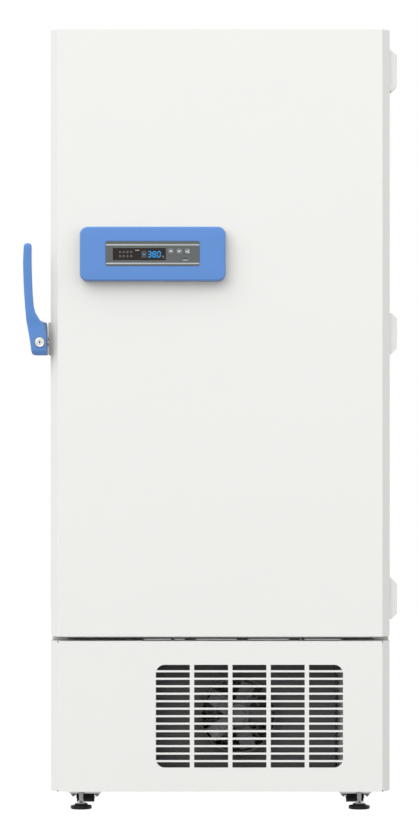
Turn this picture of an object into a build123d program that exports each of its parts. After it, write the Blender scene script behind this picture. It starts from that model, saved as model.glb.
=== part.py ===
from build123d import *
import os
from math import radians, sin

# Upright laboratory freezer with one hinged door, in millimetres.
# X runs towards the hinge side, Y towards the rear and Z up.
# While modelling, the origin is on the floor, on the cabinet's middle plane,
# in the plane of the cabinet's front flanges.

# Overall form
overall_height = 1955.0
cabinet_width = 850.0
cabinet_depth = 650.0
cabinet_top_drop = 5.0
sheet = 1.2
fold_radius = 3.0
snug = 0.1
overcut = 1.0

# Door and lower panel fronts
door_thickness = 80.0
gasket_gap = 12.0
door_bottom = 437.7
panel_top = 426.3
panel_bottom = 50.0
bevel_width = 19.4
bevel_depth = 31.5
door_return = 20.0
panel_return = 24.0

# Insulated box and its cavity
side_wall = 85.0
ceiling_wall = 85.0
floor_wall = 85.0
rear_wall = 90.0
foam_bottom = 430.0
liner_wall = 1.5
cavity_corner = 12.0
front_flange = 40.0
rear_flange = 25.0
breaker_thickness = 2.5

# Shelves
shelf_count = 3
shelf_sheet = 1.5
shelf_lip = 14.0
shelf_side_gap = 14.0
shelf_rear_gap = 25.0
shelf_front_gap = 40.0
shelf_slot = (92.0, 9.0)
shelf_slot_pitch = 120.0
shelf_slot_rows = 3
shelf_row_pitch = 130.0
strip_width = 18.0
strip_depth = 6.0
strip_inset = 70.0
strip_end_gap = 60.0
clip_width = 16.0
clip_height = 12.0
clip_slope = 8.0

# Door inner panel and seal
door_liner_wall = 2.0
plug_side_gap = 6.0
plug_height = 20.0
plug_draft = 38.0
gasket_inset = 13.0
gasket_base = (22.0, 4.0)
gasket_neck = (9.0, 3.0)
gasket_head = 17.0
gasket_clearance = 0.3

# Side hinges
hinge_end_insets = (92.3, 99.0)
hinge_middle_lift = 3.0
hinge_height = 102.0
hinge_offset = 9.5
hinge_barrel_radius = 9.0
hinge_pivot_inset = 6.0
hinge_pin_radius = 4.0
hinge_leaf_start = 15.0
hinge_leaf_width = 27.0
hinge_end_bevel = 13.0
hinge_edge_bevel = 3.0
hinge_knuckle_gap = 0.4
running = 0.05

# Controller on the door
controller_size = (365.0, 137.5)
controller_inset = 256.7
controller_height = 1393.5
controller_corner = 20.0
controller_depth = 30.0
controller_draft = 3.0
controller_edge = 4.0
controller_wall = 2.5
bezel_size = (234.0, 62.0)
bezel_corner = 4.5
bezel_thickness = 2.0
bezel_ledge = 6.0
window_size = (132.0, 30.4)
window_offset = (-33.2, -1.2)
key_size = 13.0
key_pitch = 20.5
key_offset = (66.0, 6.3)
key_proud = 0.8
key_travel = 0.6
key_length = 7.0
key_edge = 0.5
key_clearance = 0.3
board_size = (224.0, 52.0)
board_thickness = 1.6
board_behind = 9.0
post_inset = 3.0
post_size = (6.0, 30.0)
display_margin = (8.0, 4.0)
switch_size = 6.0
switch_gap = 0.3

# Lever handle on the latch side
lever_top = 1420.0
lever_bottom = 1141.0
lever_shoulder = 1224.0
lever_reach = 67.8
grip_width = 22.6
block_side_gap = 3.0
mount_thickness = 6.0
mount_height = 83.0
mount_crown = 2.4
mount_span = (-59.0, -15.0)
pivot_y = -40.0
pivot_z = 1183.0
pivot_radius = 5.0
pivot_reach = 26.0
block_front = -100.0
block_rear = -12.0
grip_front = -118.0
grip_depth = 24.0
lever_waist = 1330.0
lever_flank = ((64.4, 1272.0), (56.5, 1203.0), (49.0, 1156.0))
lever_toe = 41.0
lever_throat = ((22.0, 1229.0), (38.6, 1258.0))
lever_brow = (-108.0, 1310.0)
lever_chin = (4.0, 11.0)
lever_heel = 14.0
lever_neck = ((-66.0, 2.0), (-80.0, 1262.0))
hook_width = 12.0
hook_inset = 25.0
hook_rise = 14.0
hook_underside = 4.1
hook_mouth = 66.9
hook_reach = 78.0
hook_drop = 7.5
hook_root = 14.0
hook_step = 10.0
hook_bevels = (4.0, 8.0)
keeper_pin_radius = 5.0
keeper_half = (16.0, 22.0)
keeper_offset = (60.0, -14.0)
keeper_length = 34.0
keeper_plate = 3.0
lock_inset = 26.0
lock_height = 1173.6
lock_radius = 12.5
lock_proud = 2.0
lock_length = 34.0
lock_recess = 3.0
plug_rear_gap = 6.0
plug_radius = 8.0
key_slot = (2.0, 9.0, 12.0)

# Grille in the lower panel
grille_columns = 5
grille_rows = 14
slot_size = (84.8, 13.6)
slot_pitch = (95.7, 18.7)
grille_centre = (73.0, 238.9)
grille_corner = 22.0

# Base, rails, feet and casters
tray_bottom = 52.0
tray_sheet = 2.0
tray_front = -58.0
tray_upstand = 30.0
rail_width = 84.0
rail_bottom = 40.0
rail_sheet = 2.5
rail_front = -2.0
rail_rear_inset = 45.0
foot_inset = 75.0
foot_front_y = -17.0
foot_rear_inset = 30.0
pad_radius = 27.0
pad_rim = 6.0
pad_height = 13.0
pad_neck_radius = 15.0
stud_radius = 5.75
stud_top = 92.0
stud_hole = 12.0
caster_inset = 84.0
caster_front_y = 48.0
caster_rear_inset = 95.0
wheel_radius = 19.5
wheel_width = 44.0
wheel_lift = 11.0
axle_radius = 4.0
cheek_gap = 0.4
cheek_thickness = 2.0
caster_flange = (80.0, 100.0, 3.0)
caster_opening_length = 44.0
cheek_drop = 9.0

# Condensing unit in the machine compartment
fan_centre = (45.0, 237.0)
fan_ring_radius = 95.0
fan_ring_wall = 3.0
fan_tip_gap = 6.0
fan_front = -52.0
fan_plate_y = -22.0
fan_hub_radius = 28.0
fan_hub_depth = 24.0
fan_blades = 5
guard_rings = 2
guard_hub = 20.0
guard_wire = 2.6
guard_bars = 4
shaft_radius = 3.0
motor_radius = 32.0
motor_front = -18.0
motor_depth = 40.0
motor_arm = (8.0, 3.0)
duct_sheet = 2.0
baffle_left = -172.0
baffle_top = 395.0
baffle_gap = 5.0
blade_chord = 42.0
blade_thickness = 2.5
blade_pitch = 30.0
blade_sink = 3.0
motor_gap = 4.0
core_size = (360.0, 300.0)
core_front = 60.0
core_depth = 44.0
core_tubes = 13
core_tube_height = 4.0
core_tube_depth = 24.0
header_width = 22.0
compressor_y = 330.0
compressor_radius = 88.0
compressor_height = 196.0
compressor_dome = 34.0
compressor_crown = 62.0
compressor_foot = (230.0, 150.0, 3.0)
mount_rubber = 24.0
mount_rubber_height = 16.0
line_radius = 4.0
line_height = 60.0
line_stub = 30.0
drier_radius = 12.0
drier_length = 90.0
relay_box = (70.0, 46.0, 78.0)
relay_lift = 40.0
relay_sink = 8.0
box_size = (105.0, 130.0, 310.0)
box_inset = 130.0
box_front = 20.0
box_edge = 6.0
inlet_size = (50.0, 28.0)
inlet_body = (36.0, 24.0)
inlet_socket = (28.0, 17.0)
inlet_depths = (3.0, 26.0, 20.0)
inlet_pin = (2.0, 5.0)
inlet_pin_offsets = ((-7.0, -2.0), (0.0, 2.0), (7.0, -2.0))
inlet_inset = 95.0
inlet_height = 150.0
rear_slot = (110.0, 9.0)
rear_slot_pitch = (140.0, 22.0)
rear_slot_grid = (4, 4)
rear_slot_drop = 58.0
rear_slot_x = 60.0
rear_margin = 6.0
cover_gap = 2.0

# Sealed inner pieces
coil_channel = (9.0, 7.0)
coil_runs = 4
coil_pitch = 280.0
coil_bend = 20.0
coil_margin = 25.0
coil_span = 520.0
probe_radius = 3.0
probe_length = 90.0
probe_drop = 150.0
probe_stand = 14.0
probe_clip = (18.0, 25.0)

# Planes worked out from the driving dimensions
half_width = cabinet_width / 2
cabinet_top = overall_height - cabinet_top_drop
door_back = -gasket_gap
door_front = -(gasket_gap + door_thickness)
cavity_half = half_width - side_wall
cavity_depth = cabinet_depth - rear_wall
cavity_top = cabinet_top - ceiling_wall
cavity_floor = foam_bottom + floor_wall
pivot_x = half_width + hinge_offset
pivot_line_y = -hinge_pivot_inset
lever_block_side = -(half_width + mount_thickness + block_side_gap)
lever_outer = half_width + lever_reach
hook_x = -(half_width + hook_inset)
lock_centre = (-(half_width + lock_inset), lock_height)
controller_centre = (controller_inset - half_width, controller_height)
hinge_low = door_bottom + hinge_end_insets[0]
hinge_high = overall_height - hinge_end_insets[1]
hinge_middle = (hinge_low + hinge_high) / 2 + hinge_middle_lift
hinge_centres = (hinge_low, hinge_middle, hinge_high)
tray_top = tray_bottom + tray_sheet
foot_x = half_width - foot_inset
foot_rear_y = cabinet_depth - foot_rear_inset
caster_x = half_width - caster_inset
caster_rear_y = cabinet_depth - caster_rear_inset
rail_ends = (rail_front, cabinet_depth - rail_rear_inset)
box_corner = (half_width - box_inset, box_front)
inlet_centre = (inlet_inset - half_width, inlet_height)
wheel_centre_z = wheel_lift + wheel_radius


def block(x, y, z):
    """Block between the low and high value on each axis."""
    middle = ((x[0] + x[1]) / 2, (y[0] + y[1]) / 2, (z[0] + z[1]) / 2)
    return Pos(*middle) * Box(x[1] - x[0], y[1] - y[0], z[1] - z[0])


def rod(start, direction, radius, length):
    """Round bar from a start point along a direction."""
    bar = Cylinder(radius, length, align=(Align.CENTER, Align.CENTER, Align.MIN))
    return Plane(origin=start, z_dir=direction) * bar


def facing_front(x, y, z):
    """Plane at a point whose normal points out of the freezer's front."""
    return Plane(origin=(x, y, z), x_dir=(1, 0, 0), z_dir=(0, -1, 0))


def side_profile(x):
    """Plane whose sketch axes are Y and Z, with its normal along X."""
    return Plane(origin=(x, 0, 0), x_dir=(0, 1, 0), z_dir=(1, 0, 0))


def mirror_x(piece):
    """Copy of a piece on the other side of the middle plane."""
    return mirror(piece, about=Plane.YZ)


def pattern(plane, grid, outline):
    """Copies of an outline at the grid's places on a plane."""
    return Sketch() + [plane * place * outline for place in grid]


def rectangle_ring(outer, inner, y, z_middle):
    """Flat rectangular frame standing in a front-facing plane."""
    plane = facing_front(0, y[1], z_middle)
    frame = Rectangle(*outer) - Rectangle(*inner)
    return extrude(plane * frame, amount=y[1] - y[0])


def bevelled_plan(inset=0.0):
    """Plan outline that the door and the lower panel share."""
    flat = half_width - bevel_width
    corners = [
        (-half_width, door_back),
        (-half_width, door_front + bevel_depth),
        (-flat, door_front),
        (flat, door_front),
        (half_width, door_front + bevel_depth),
        (half_width, door_back),
    ]
    plan = make_face(Polyline(*corners, close=True))
    if inset:
        plan = offset(plan, -inset, kind=Kind.INTERSECTION)
    folds = plan.vertices().filter_by_position(Axis.Y, door_front, door_back - sheet - overcut)
    return fillet(folds, fold_radius - inset)


def cavity_form(grow, front):
    """Storage space grown by a wall, from the front plane given to its rear."""
    width = 2 * (cavity_half + grow)
    height = cavity_top - cavity_floor + 2 * grow
    middle = (cavity_top + cavity_floor) / 2
    outline = RectangleRounded(width, height, cavity_corner + grow)
    plane = facing_front(0, cavity_depth + grow, middle)
    return extrude(plane * outline, amount=cavity_depth + grow - front)


def side_panel(side):
    """Painted side sheet with return flanges, the front one cut out for the tray."""
    outer = half_width
    inner = half_width - sheet
    front_inner = half_width - front_flange
    rear_inner = half_width - rear_flange
    middle = cabinet_depth / 2
    profile = Pos((outer + front_inner) / 2, middle) * Rectangle(front_flange, cabinet_depth)
    hollow = Rectangle(inner - front_inner, cabinet_depth - 2 * sheet)
    profile -= Pos((inner + front_inner) / 2, middle) * hollow
    shorter = Rectangle(rear_inner - front_inner, sheet)
    profile -= Pos((front_inner + rear_inner) / 2, cabinet_depth - sheet / 2) * shorter
    corners = profile.vertices().filter_by_position(Axis.X, outer - snug, outer + snug)
    profile = fillet(corners, fold_radius)
    panel = Pos(0, 0, panel_bottom) * extrude(profile, amount=cabinet_top - sheet - panel_bottom)
    tray_pass = (panel_bottom, tray_top + tray_upstand)
    panel -= block((front_inner, inner), (0, sheet), tray_pass)
    return panel if side > 0 else mirror_x(panel)


def top_panel():
    """Roof sheet with return flanges that drop between the side flanges."""
    roof = block((-half_width, half_width), (0, cabinet_depth), (cabinet_top - sheet, cabinet_top))
    reach = half_width - front_flange - snug
    roof += block((-reach, reach), (0, sheet), (cabinet_top - front_flange, cabinet_top))
    rear_reach = half_width - rear_flange - snug
    rear = (cabinet_depth - sheet, cabinet_depth)
    roof += block((-rear_reach, rear_reach), rear, (cabinet_top - rear_flange, cabinet_top))
    return roof


def rear_panel():
    """Flat sheet over the rear flanges of the insulated box."""
    reach = half_width - rear_margin
    y = (cabinet_depth, cabinet_depth + sheet)
    return block((-reach, reach), y, (foam_bottom, cabinet_top - rear_margin))


def machine_ceiling():
    """Sheet under the insulation, folded up in front as the lower gasket flange."""
    reach = half_width - sheet - snug
    front_reach = half_width - front_flange - snug
    low = foam_bottom - sheet
    plate = block((-reach, reach), (sheet + snug, cabinet_depth - sheet - snug), (low, foam_bottom))
    lip = block((-front_reach, front_reach), (0, sheet), (low, foam_bottom + front_flange))
    bridge = block((-front_reach, front_reach), (0, front_flange), (low, foam_bottom))
    return plate + lip + bridge


def foam_body():
    """Foamed insulation between the outer sheets and the liner."""
    reach = half_width - sheet - snug
    y = (sheet + snug, cabinet_depth - sheet - snug)
    foam = block((-reach, reach), y, (foam_bottom + snug, cabinet_top - sheet - snug))
    gap = liner_wall + snug
    side = cavity_half + gap
    foam -= block((-side, side), (-sheet, cavity_depth + gap), (cavity_floor - gap, cavity_top + gap))
    foam -= breaker_form(-sheet, breaker_thickness + snug, snug)
    rear = cavity_depth + liner_wall
    half_span = (coil_span + coil_channel[0]) / 2 + coil_margin
    half_height = coil_pitch * (coil_runs - 1) / 2 + coil_margin
    middle = (cavity_top + cavity_floor) / 2
    z = (middle - half_height, middle + half_height)
    return foam - block((-half_span, half_span), (rear, rear + coil_channel[1] + snug), z)


def breaker_form(front, rear, grow):
    """Flat frame between the gasket flanges and the cavity."""
    outer_half = half_width - front_flange + grow - snug
    low = foam_bottom + front_flange - grow + snug
    high = cabinet_top - front_flange + grow - snug
    return block((-outer_half, outer_half), (front, rear), (low, high))


def breaker_frame():
    """Plastic thermal break around the mouth of the cavity."""
    return breaker_form(0, breaker_thickness, 0) - cavity_form(0, -sheet)


def inner_liner():
    """Five-sided liner of the storage space."""
    return cavity_form(liner_wall, breaker_thickness) - cavity_form(0, 0)


def shelf_heights():
    """Heights at which the shelves divide the cavity evenly."""
    step = (cavity_top - cavity_floor) / (shelf_count + 1)
    return [cavity_floor + step * (index + 1) for index in range(shelf_count)]


def shelf(height):
    """Folded shelf with rows of vent slots and turned-down lips."""
    reach = cavity_half - shelf_side_gap
    y = (shelf_front_gap, cavity_depth - shelf_rear_gap)
    plate = block((-reach, reach), y, (height - shelf_sheet, height))
    front_lip = (y[0], y[0] + shelf_sheet)
    rear_lip = (y[1] - shelf_sheet, y[1])
    plate += block((-reach, reach), front_lip, (height - shelf_lip, height))
    plate += block((-reach, reach), rear_lip, (height, height + shelf_lip))
    columns = int((2 * reach - shelf_slot[0]) // shelf_slot_pitch)
    middle = Plane(origin=(0, (y[0] + y[1]) / 2, height - shelf_sheet - overcut))
    grid = GridLocations(shelf_slot_pitch, shelf_row_pitch, columns, shelf_slot_rows)
    slots = pattern(middle, grid, Rectangle(*shelf_slot))
    return plate - extrude(slots, amount=shelf_sheet + 2 * overcut)


def strip_places():
    """Depths of the front and rear shelf strips."""
    return (shelf_front_gap + strip_inset, cavity_depth - shelf_rear_gap - strip_inset)


def shelf_strips():
    """Four upright strips on the side walls with a clip under each shelf."""
    pieces = []
    wall = cavity_half
    clip_tip = wall - strip_depth - clip_width
    z = (cavity_floor + strip_end_gap, cavity_top - strip_end_gap)
    for y in strip_places():
        span = (y - strip_width / 2, y + strip_width / 2)
        strip = block((wall - strip_depth, wall), span, z)
        for height in shelf_heights():
            top = height - shelf_sheet
            clip = block((clip_tip, wall - strip_depth), span, (top - clip_height, top))
            toe = clip.edges().filter_by(Axis.Y).sort_by(Axis.Z)[0:2].sort_by(Axis.X)[0]
            strip += chamfer(toe, clip_slope)
        pieces += [strip, mirror_x(strip)]
    return pieces


def evaporator_coil():
    """Flat-sided cold-wall channel snaking behind the liner."""
    middle = (cavity_top + cavity_floor) / 2
    rear = cavity_depth + liner_wall + coil_channel[1]
    half = coil_span / 2
    bottom = -coil_pitch * (coil_runs - 1) / 2
    points = []
    for index in range(coil_runs):
        z = bottom + index * coil_pitch
        side = -1 if index % 2 == 0 else 1
        points += [(side * half, z), (-side * half, z)]
    path = FilletPolyline(*points, radius=coil_bend)
    channel = facing_front(0, rear, middle) * trace(path, coil_channel[0])
    return extrude(channel, amount=coil_channel[1])


def temperature_probe():
    """Sensor sheath in a clip high on the rear wall."""
    x = cavity_half / 2
    y = cavity_depth - probe_stand
    z = cavity_top - probe_drop
    width, height = probe_clip
    middle = z + probe_length / 2
    sheath = rod((x, y, z), (0, 0, 1), probe_radius, probe_length)
    span = (x - width / 2, x + width / 2)
    return sheath + block(span, (y, cavity_depth), (middle - height / 2, middle + height / 2))


def door_skin():
    """Folded door pan with bevelled upright edges and rear return flanges."""
    height = overall_height - door_bottom
    pan = Pos(0, 0, door_bottom) * extrude(bevelled_plan(), amount=height)
    pan -= Pos(0, 0, door_bottom + sheet) * extrude(bevelled_plan(sheet), amount=height - 2 * sheet)
    pan -= door_window(0, door_back - sheet - overcut, overcut)
    return pan


def door_window(gap, front, rear):
    """Opening inside the pan's rear returns, less a gap."""
    reach = half_width - door_return - gap
    z = (door_bottom + door_return + gap, overall_height - door_return - gap)
    return block((-reach, reach), (front, rear), z)


def plug_form(inset):
    """Tapered raised panel that enters the mouth of the cavity."""
    grow = plug_side_gap - inset
    outline = RectangleRounded(
        2 * (cavity_half + grow), cavity_top - cavity_floor + 2 * grow, cavity_corner + plug_side_gap
    )
    middle = (cavity_top + cavity_floor) / 2
    plane = Plane(origin=(0, door_back - inset, middle), x_dir=(1, 0, 0), z_dir=(0, 1, 0))
    return extrude(plane * outline, amount=plug_height, taper=plug_draft)


def door_liner():
    """Moulded inner panel of the door, hollow behind its raised field."""
    flange = door_window(snug, door_back - door_liner_wall, door_back)
    return flange + plug_form(0) - plug_form(door_liner_wall)


def door_foam():
    """Insulation that fills the pan and the raised inner panel."""
    inset = sheet + snug
    height = overall_height - door_bottom
    foam = Pos(0, 0, door_bottom + inset) * extrude(bevelled_plan(inset), amount=height - 2 * inset)
    rear = door_back - door_liner_wall - snug
    foam -= block((-half_width, half_width), (rear, 0), (0, overall_height))
    return foam + plug_form(door_liner_wall + snug)


def door_gasket():
    """Magnetic seal: a base, a folding neck and a broad head."""
    centre_half = half_width - gasket_inset - gasket_base[0] / 2
    low = door_bottom + gasket_inset + gasket_base[0] / 2
    high = cabinet_top - gasket_inset - gasket_base[0] / 2
    middle = (low + high) / 2
    head_front = door_back + gasket_base[1] + gasket_neck[1]
    layers = [
        (gasket_base[0], door_back, door_back + gasket_base[1]),
        (gasket_neck[0], door_back + gasket_base[1], head_front),
        (gasket_head, head_front, -gasket_clearance),
    ]
    seal = None
    for width, front, rear in layers:
        outer = (2 * centre_half + width, high - low + width)
        inner = (2 * centre_half - width, high - low - width)
        ring = rectangle_ring(outer, inner, (front, rear), middle)
        seal = ring if seal is None else seal + ring
    return seal


def hinge_leaf(direction, low, high):
    """Bevelled side leaf with one knuckle between two heights."""
    outer = pivot_x + hinge_barrel_radius
    near = pivot_line_y + direction * hinge_leaf_start
    far = near + direction * hinge_leaf_width
    leaf = block((half_width, outer), sorted((near, far)), (-hinge_height / 2, hinge_height / 2))
    ends = leaf.edges().filter_by(Axis.Y).sort_by(Axis.X)[-2:]
    leaf = chamfer(ends, hinge_end_bevel)
    face = leaf.faces().sort_by(Axis.X)[-1]
    leaf = chamfer(face.edges().filter_by(Axis.Z), hinge_edge_bevel)
    barrel = rod((pivot_x, pivot_line_y, low), (0, 0, 1), hinge_barrel_radius, high - low)
    x = (pivot_x - hinge_barrel_radius, outer)
    return leaf + barrel + block(x, sorted((pivot_line_y, near)), (low, high))


def hinge_knuckle_half():
    """Half of the height that the two knuckles fill."""
    return hinge_height / 2 - hinge_end_bevel


def hinge_cabinet_leaves():
    """Three rear leaves, each with the lower knuckle of a lift-off hinge."""
    leaf = hinge_leaf(1, -hinge_knuckle_half(), -hinge_knuckle_gap / 2)
    return [Pos(0, 0, z) * leaf for z in hinge_centres]


def hinge_door_leaves():
    """Three front leaves, each with the bored upper knuckle of a lift-off hinge."""
    half = hinge_knuckle_half()
    leaf = hinge_leaf(-1, hinge_knuckle_gap / 2, half)
    leaf -= rod((pivot_x, pivot_line_y, 0), (0, 0, 1), hinge_pin_radius + running, half)
    return [Pos(0, 0, z) * leaf for z in hinge_centres]


def hinge_pins():
    """Pins that stand on the lower knuckles and carry the upper ones."""
    foot = -hinge_knuckle_gap / 2
    length = hinge_knuckle_half() - foot
    pin = rod((pivot_x, pivot_line_y, foot), (0, 0, 1), hinge_pin_radius, length)
    return [Pos(0, 0, z) * pin for z in hinge_centres]


def controller_plane(depth, offset_xz=(0.0, 0.0)):
    """Front-facing plane on the controller, at a distance from the door's face."""
    x = controller_centre[0] + offset_xz[0]
    z = controller_centre[1] + offset_xz[1]
    return facing_front(x, door_front - depth, z)


def controller_housing():
    """Moulded housing with drafted sides, a bevelled rim and a recess for the fascia."""
    width, height = controller_size
    outline = RectangleRounded(width, height, controller_corner)
    shell = extrude(controller_plane(0) * outline, amount=controller_depth, taper=controller_draft)
    shell = chamfer(shell.faces().sort_by(Axis.Y)[0].edges(), controller_edge)
    inside_depth = controller_depth - controller_wall - bezel_thickness
    lost = 2 * (controller_wall + controller_depth * sin(radians(controller_draft)))
    inside = RectangleRounded(width - lost, height - lost, controller_corner - controller_wall)
    shell -= extrude(controller_plane(0) * inside, amount=inside_depth)
    recess = RectangleRounded(bezel_size[0] + 2 * snug, bezel_size[1] + 2 * snug, bezel_corner + snug)
    shell -= extrude(controller_plane(controller_depth - bezel_thickness) * recess, amount=controller_wall)
    opening = Rectangle(bezel_size[0] - 2 * bezel_ledge, bezel_size[1] - 2 * bezel_ledge)
    shell -= extrude(controller_plane(0) * opening, amount=controller_depth)
    board_front = controller_depth - board_behind
    for side in (-1, 1):
        post = controller_plane(board_front, (side * (board_size[0] / 2 + post_inset), 0))
        shell += extrude(post * Rectangle(*post_size), amount=inside_depth - board_front)
    return shell


def bezel():
    """Flat fascia with the window and the key holes."""
    outline = RectangleRounded(*bezel_size, bezel_corner)
    plate = extrude(controller_plane(controller_depth - bezel_thickness) * outline, amount=bezel_thickness)
    window = Rectangle(window_size[0] + 2 * snug, window_size[1] + 2 * snug)
    plate -= extrude(controller_plane(0, window_offset) * window, amount=2 * controller_depth)
    side = key_size + 2 * key_clearance
    for place in key_places():
        plate -= extrude(controller_plane(0, place) * Rectangle(side, side), amount=2 * controller_depth)
    return plate


def key_places():
    """Offsets of the three keys from the controller's centre."""
    x, z = key_offset
    return [(x + step * key_pitch, z) for step in (-1, 0, 1)]


def display_window():
    """Smoked lens that fills the window of the fascia."""
    plane = controller_plane(controller_depth - bezel_thickness, window_offset)
    return extrude(plane * Rectangle(*window_size), amount=bezel_thickness)


def display_board():
    """Circuit board with the display block and three switch bodies."""
    width = board_size[0] + 2 * (post_inset + post_size[0] / 2)
    back = controller_depth - board_behind - board_thickness
    front = back + board_thickness
    board = extrude(controller_plane(back) * Rectangle(width, board_size[1]), amount=board_thickness)
    reach = controller_depth - bezel_thickness - snug - front
    display = Rectangle(window_size[0] - display_margin[0], window_size[1] - display_margin[1])
    board += extrude(controller_plane(front, window_offset) * display, amount=reach)
    for place in key_places():
        switch = Rectangle(switch_size, switch_size)
        board += extrude(controller_plane(front, place) * switch, amount=switch_height())
    return board


def switch_height():
    """Height of a switch body, with room for the key's travel."""
    key_back = controller_depth + key_proud - key_length
    board_front = controller_depth - board_behind
    return key_back - key_travel - switch_gap - board_front


def key(index):
    """Square key that stands a little proud of the fascia."""
    back = controller_plane(controller_depth + key_proud - key_length, key_places()[index])
    cap = extrude(back * Rectangle(key_size, key_size), amount=key_length)
    return chamfer(cap.faces().sort_by(Axis.Y)[0].edges(), key_edge)


def handle_mount():
    """Crowned plate on the door's side that carries the lever."""
    inner = -half_width
    z = (lever_bottom, lever_bottom + mount_height)
    plate = block((inner - mount_thickness, inner), mount_span, z)
    plate = chamfer(plate.faces().sort_by(Axis.X)[0].edges(), mount_crown)
    return plate - rod((inner, pivot_y, pivot_z), (-1, 0, 0), pivot_radius + running, 2 * mount_thickness)


def handle_pivot():
    """Pivot bolt through the mounting plate into the lever."""
    bolt_end = lever_block_side - pivot_reach
    start = -half_width
    return rod((start, pivot_y, pivot_z), (-1, 0, 0), pivot_radius, start - bolt_end)


def lever_front_form():
    """Front outline of the lever: a slim grip that flares into the lock block."""
    left = -lever_outer
    right = left + grip_width
    flank = [(-half_width - reach, height) for reach, height in lever_flank]
    throat = [(-half_width - reach, height) for reach, height in lever_throat]
    outer = ThreePointArc((left, lever_waist), flank[0], flank[1])
    toe = (-half_width - lever_toe, lever_bottom)
    heel = (lever_block_side, lever_bottom)
    shoulder = (lever_block_side, lever_shoulder)
    base = Polyline(outer @ 1, flank[2], toe, heel, shoulder, throat[0])
    flare = ThreePointArc(base @ 1, throat[1], (right, lever_waist))
    top = Polyline(flare @ 1, (right, lever_top), (left, lever_top), (left, lever_waist))
    return make_face([outer, base, flare, top])


def lever_side_form():
    """Side outline of the lever: a forward-leaning grip on a deep block."""
    brow_foot = (block_front, lever_shoulder)
    chin = (block_front + lever_chin[0], lever_bottom + lever_chin[1])
    heel = (block_front + lever_heel, lever_bottom)
    shoulder_rear = (block_rear, lever_shoulder - lever_heel)
    neck_y, neck_rise = lever_neck[0]
    neck = (neck_y, lever_shoulder + neck_rise)
    grip_back = (grip_front + grip_depth, lever_top)
    points = [(grip_front, lever_top), lever_brow, brow_foot, chin, heel, (block_rear, lever_bottom)]
    points += [shoulder_rear, neck, lever_neck[1], grip_back]
    return make_face(Polyline(*points, close=True))


def lock_front():
    """Depth of the lock's face, which stands proud of its seat in the lever."""
    return block_front + lock_recess - lock_proud


def handle_lever():
    """Moulded lever with its pivot bore, lock bore and hook slot."""
    across = extrude(facing_front(0, 0, 0) * lever_front_form(), amount=-grip_front + grip_depth)
    along = extrude(side_profile(-lever_outer - overcut) * lever_side_form(), amount=lever_outer - half_width)
    lever = across & along
    bore = pivot_reach + snug
    lever -= rod((lever_block_side, pivot_y, pivot_z), (-1, 0, 0), pivot_radius + snug, bore)
    x, z = lock_centre
    seat = lock_front() + lock_length + snug - grip_front
    lever -= rod((x, grip_front, z), (0, 1, 0), lock_radius + snug, seat)
    half = hook_width / 2 + snug
    tang = (pivot_y + hook_root, block_rear + overcut)
    slot = (pivot_z + hook_underside - hook_step - snug, pivot_z + hook_rise + snug)
    lever -= block((hook_x - half, hook_x + half), tang, slot)
    return lever


def latch_hook():
    """Steel hook that drops behind the keeper pin when the lever is pressed in."""
    root = hook_root + snug
    rear = block_rear - pivot_y
    low = hook_underside - hook_step
    toe, brow = hook_bevels
    points = [
        (root, low),
        (rear, low),
        (rear + hook_step, hook_underside),
        (hook_mouth, hook_underside),
        (hook_mouth, -hook_drop),
        (hook_reach - toe, -hook_drop),
        (hook_reach, toe - hook_drop),
        (hook_reach, hook_rise - brow),
        (hook_reach - brow, hook_rise),
        (root, hook_rise),
    ]
    outline = make_face(Polyline(*points, close=True))
    hook = extrude(side_profile(hook_x - hook_width / 2) * outline, amount=hook_width)
    return Pos(0, pivot_y, pivot_z) * hook


def latch_keeper():
    """Keeper plate on the cabinet's side with the pin that the hook pulls on."""
    y = pivot_y + keeper_offset[0]
    z = pivot_z + keeper_offset[1]
    half_depth, half_height = keeper_half
    x = (-half_width - keeper_plate, -half_width)
    plate = block(x, (y - half_depth, y + half_depth), (z - half_height, z + half_height))
    return plate + rod((-half_width, y, z), (-1, 0, 0), keeper_pin_radius, keeper_length)


def lock_barrel():
    """Fixed sleeve of the lock."""
    x, z = lock_centre
    start = (x, lock_front(), z)
    sleeve = rod(start, (0, 1, 0), lock_radius, lock_length)
    return sleeve - rod(start, (0, 1, 0), plug_radius + running, lock_length)


def lock_plug():
    """Turning plug with its key slot."""
    x, z = lock_centre
    front = lock_front()
    plug = rod((x, front, z), (0, 1, 0), plug_radius, lock_length - plug_rear_gap)
    width, height, depth = key_slot
    half = (width / 2, height / 2)
    return plug - block((x - half[0], x + half[0]), (front, front + depth), (z - half[1], z + half[1]))


def grille_slots():
    """Slot pattern clipped to a field with rounded outer corners."""
    single = Rectangle(*slot_size)
    grid = GridLocations(*slot_pitch, grille_columns, grille_rows)
    field_width = slot_pitch[0] * (grille_columns - 1) + slot_size[0]
    field_height = slot_pitch[1] * (grille_rows - 1) + slot_size[1]
    field = RectangleRounded(field_width, field_height, grille_corner)
    return pattern(Plane.XY, grid, single) & field


def front_grille_panel():
    """Lower front pan with the field of intake slots."""
    height = panel_top - panel_bottom
    pan = Pos(0, 0, panel_bottom) * extrude(bevelled_plan(), amount=height)
    reach = half_width - sheet
    for side in (-1, 1):
        tab = sorted((side * reach, side * half_width))
        pan += block(tab, (door_back, -snug), (panel_bottom, panel_top))
    pan -= Pos(0, 0, panel_bottom + sheet) * extrude(bevelled_plan(sheet), amount=height - 2 * sheet)
    pan -= block((-reach, reach), (door_back - sheet - overcut, 0), (panel_bottom, panel_top))
    rear = (door_front + panel_return, 0)
    pan -= block((-reach, reach), rear, (panel_bottom, panel_bottom + sheet))
    plane = facing_front(grille_centre[0], door_front + sheet, grille_centre[1])
    return pan - extrude(plane * grille_slots(), amount=2 * sheet)


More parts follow.
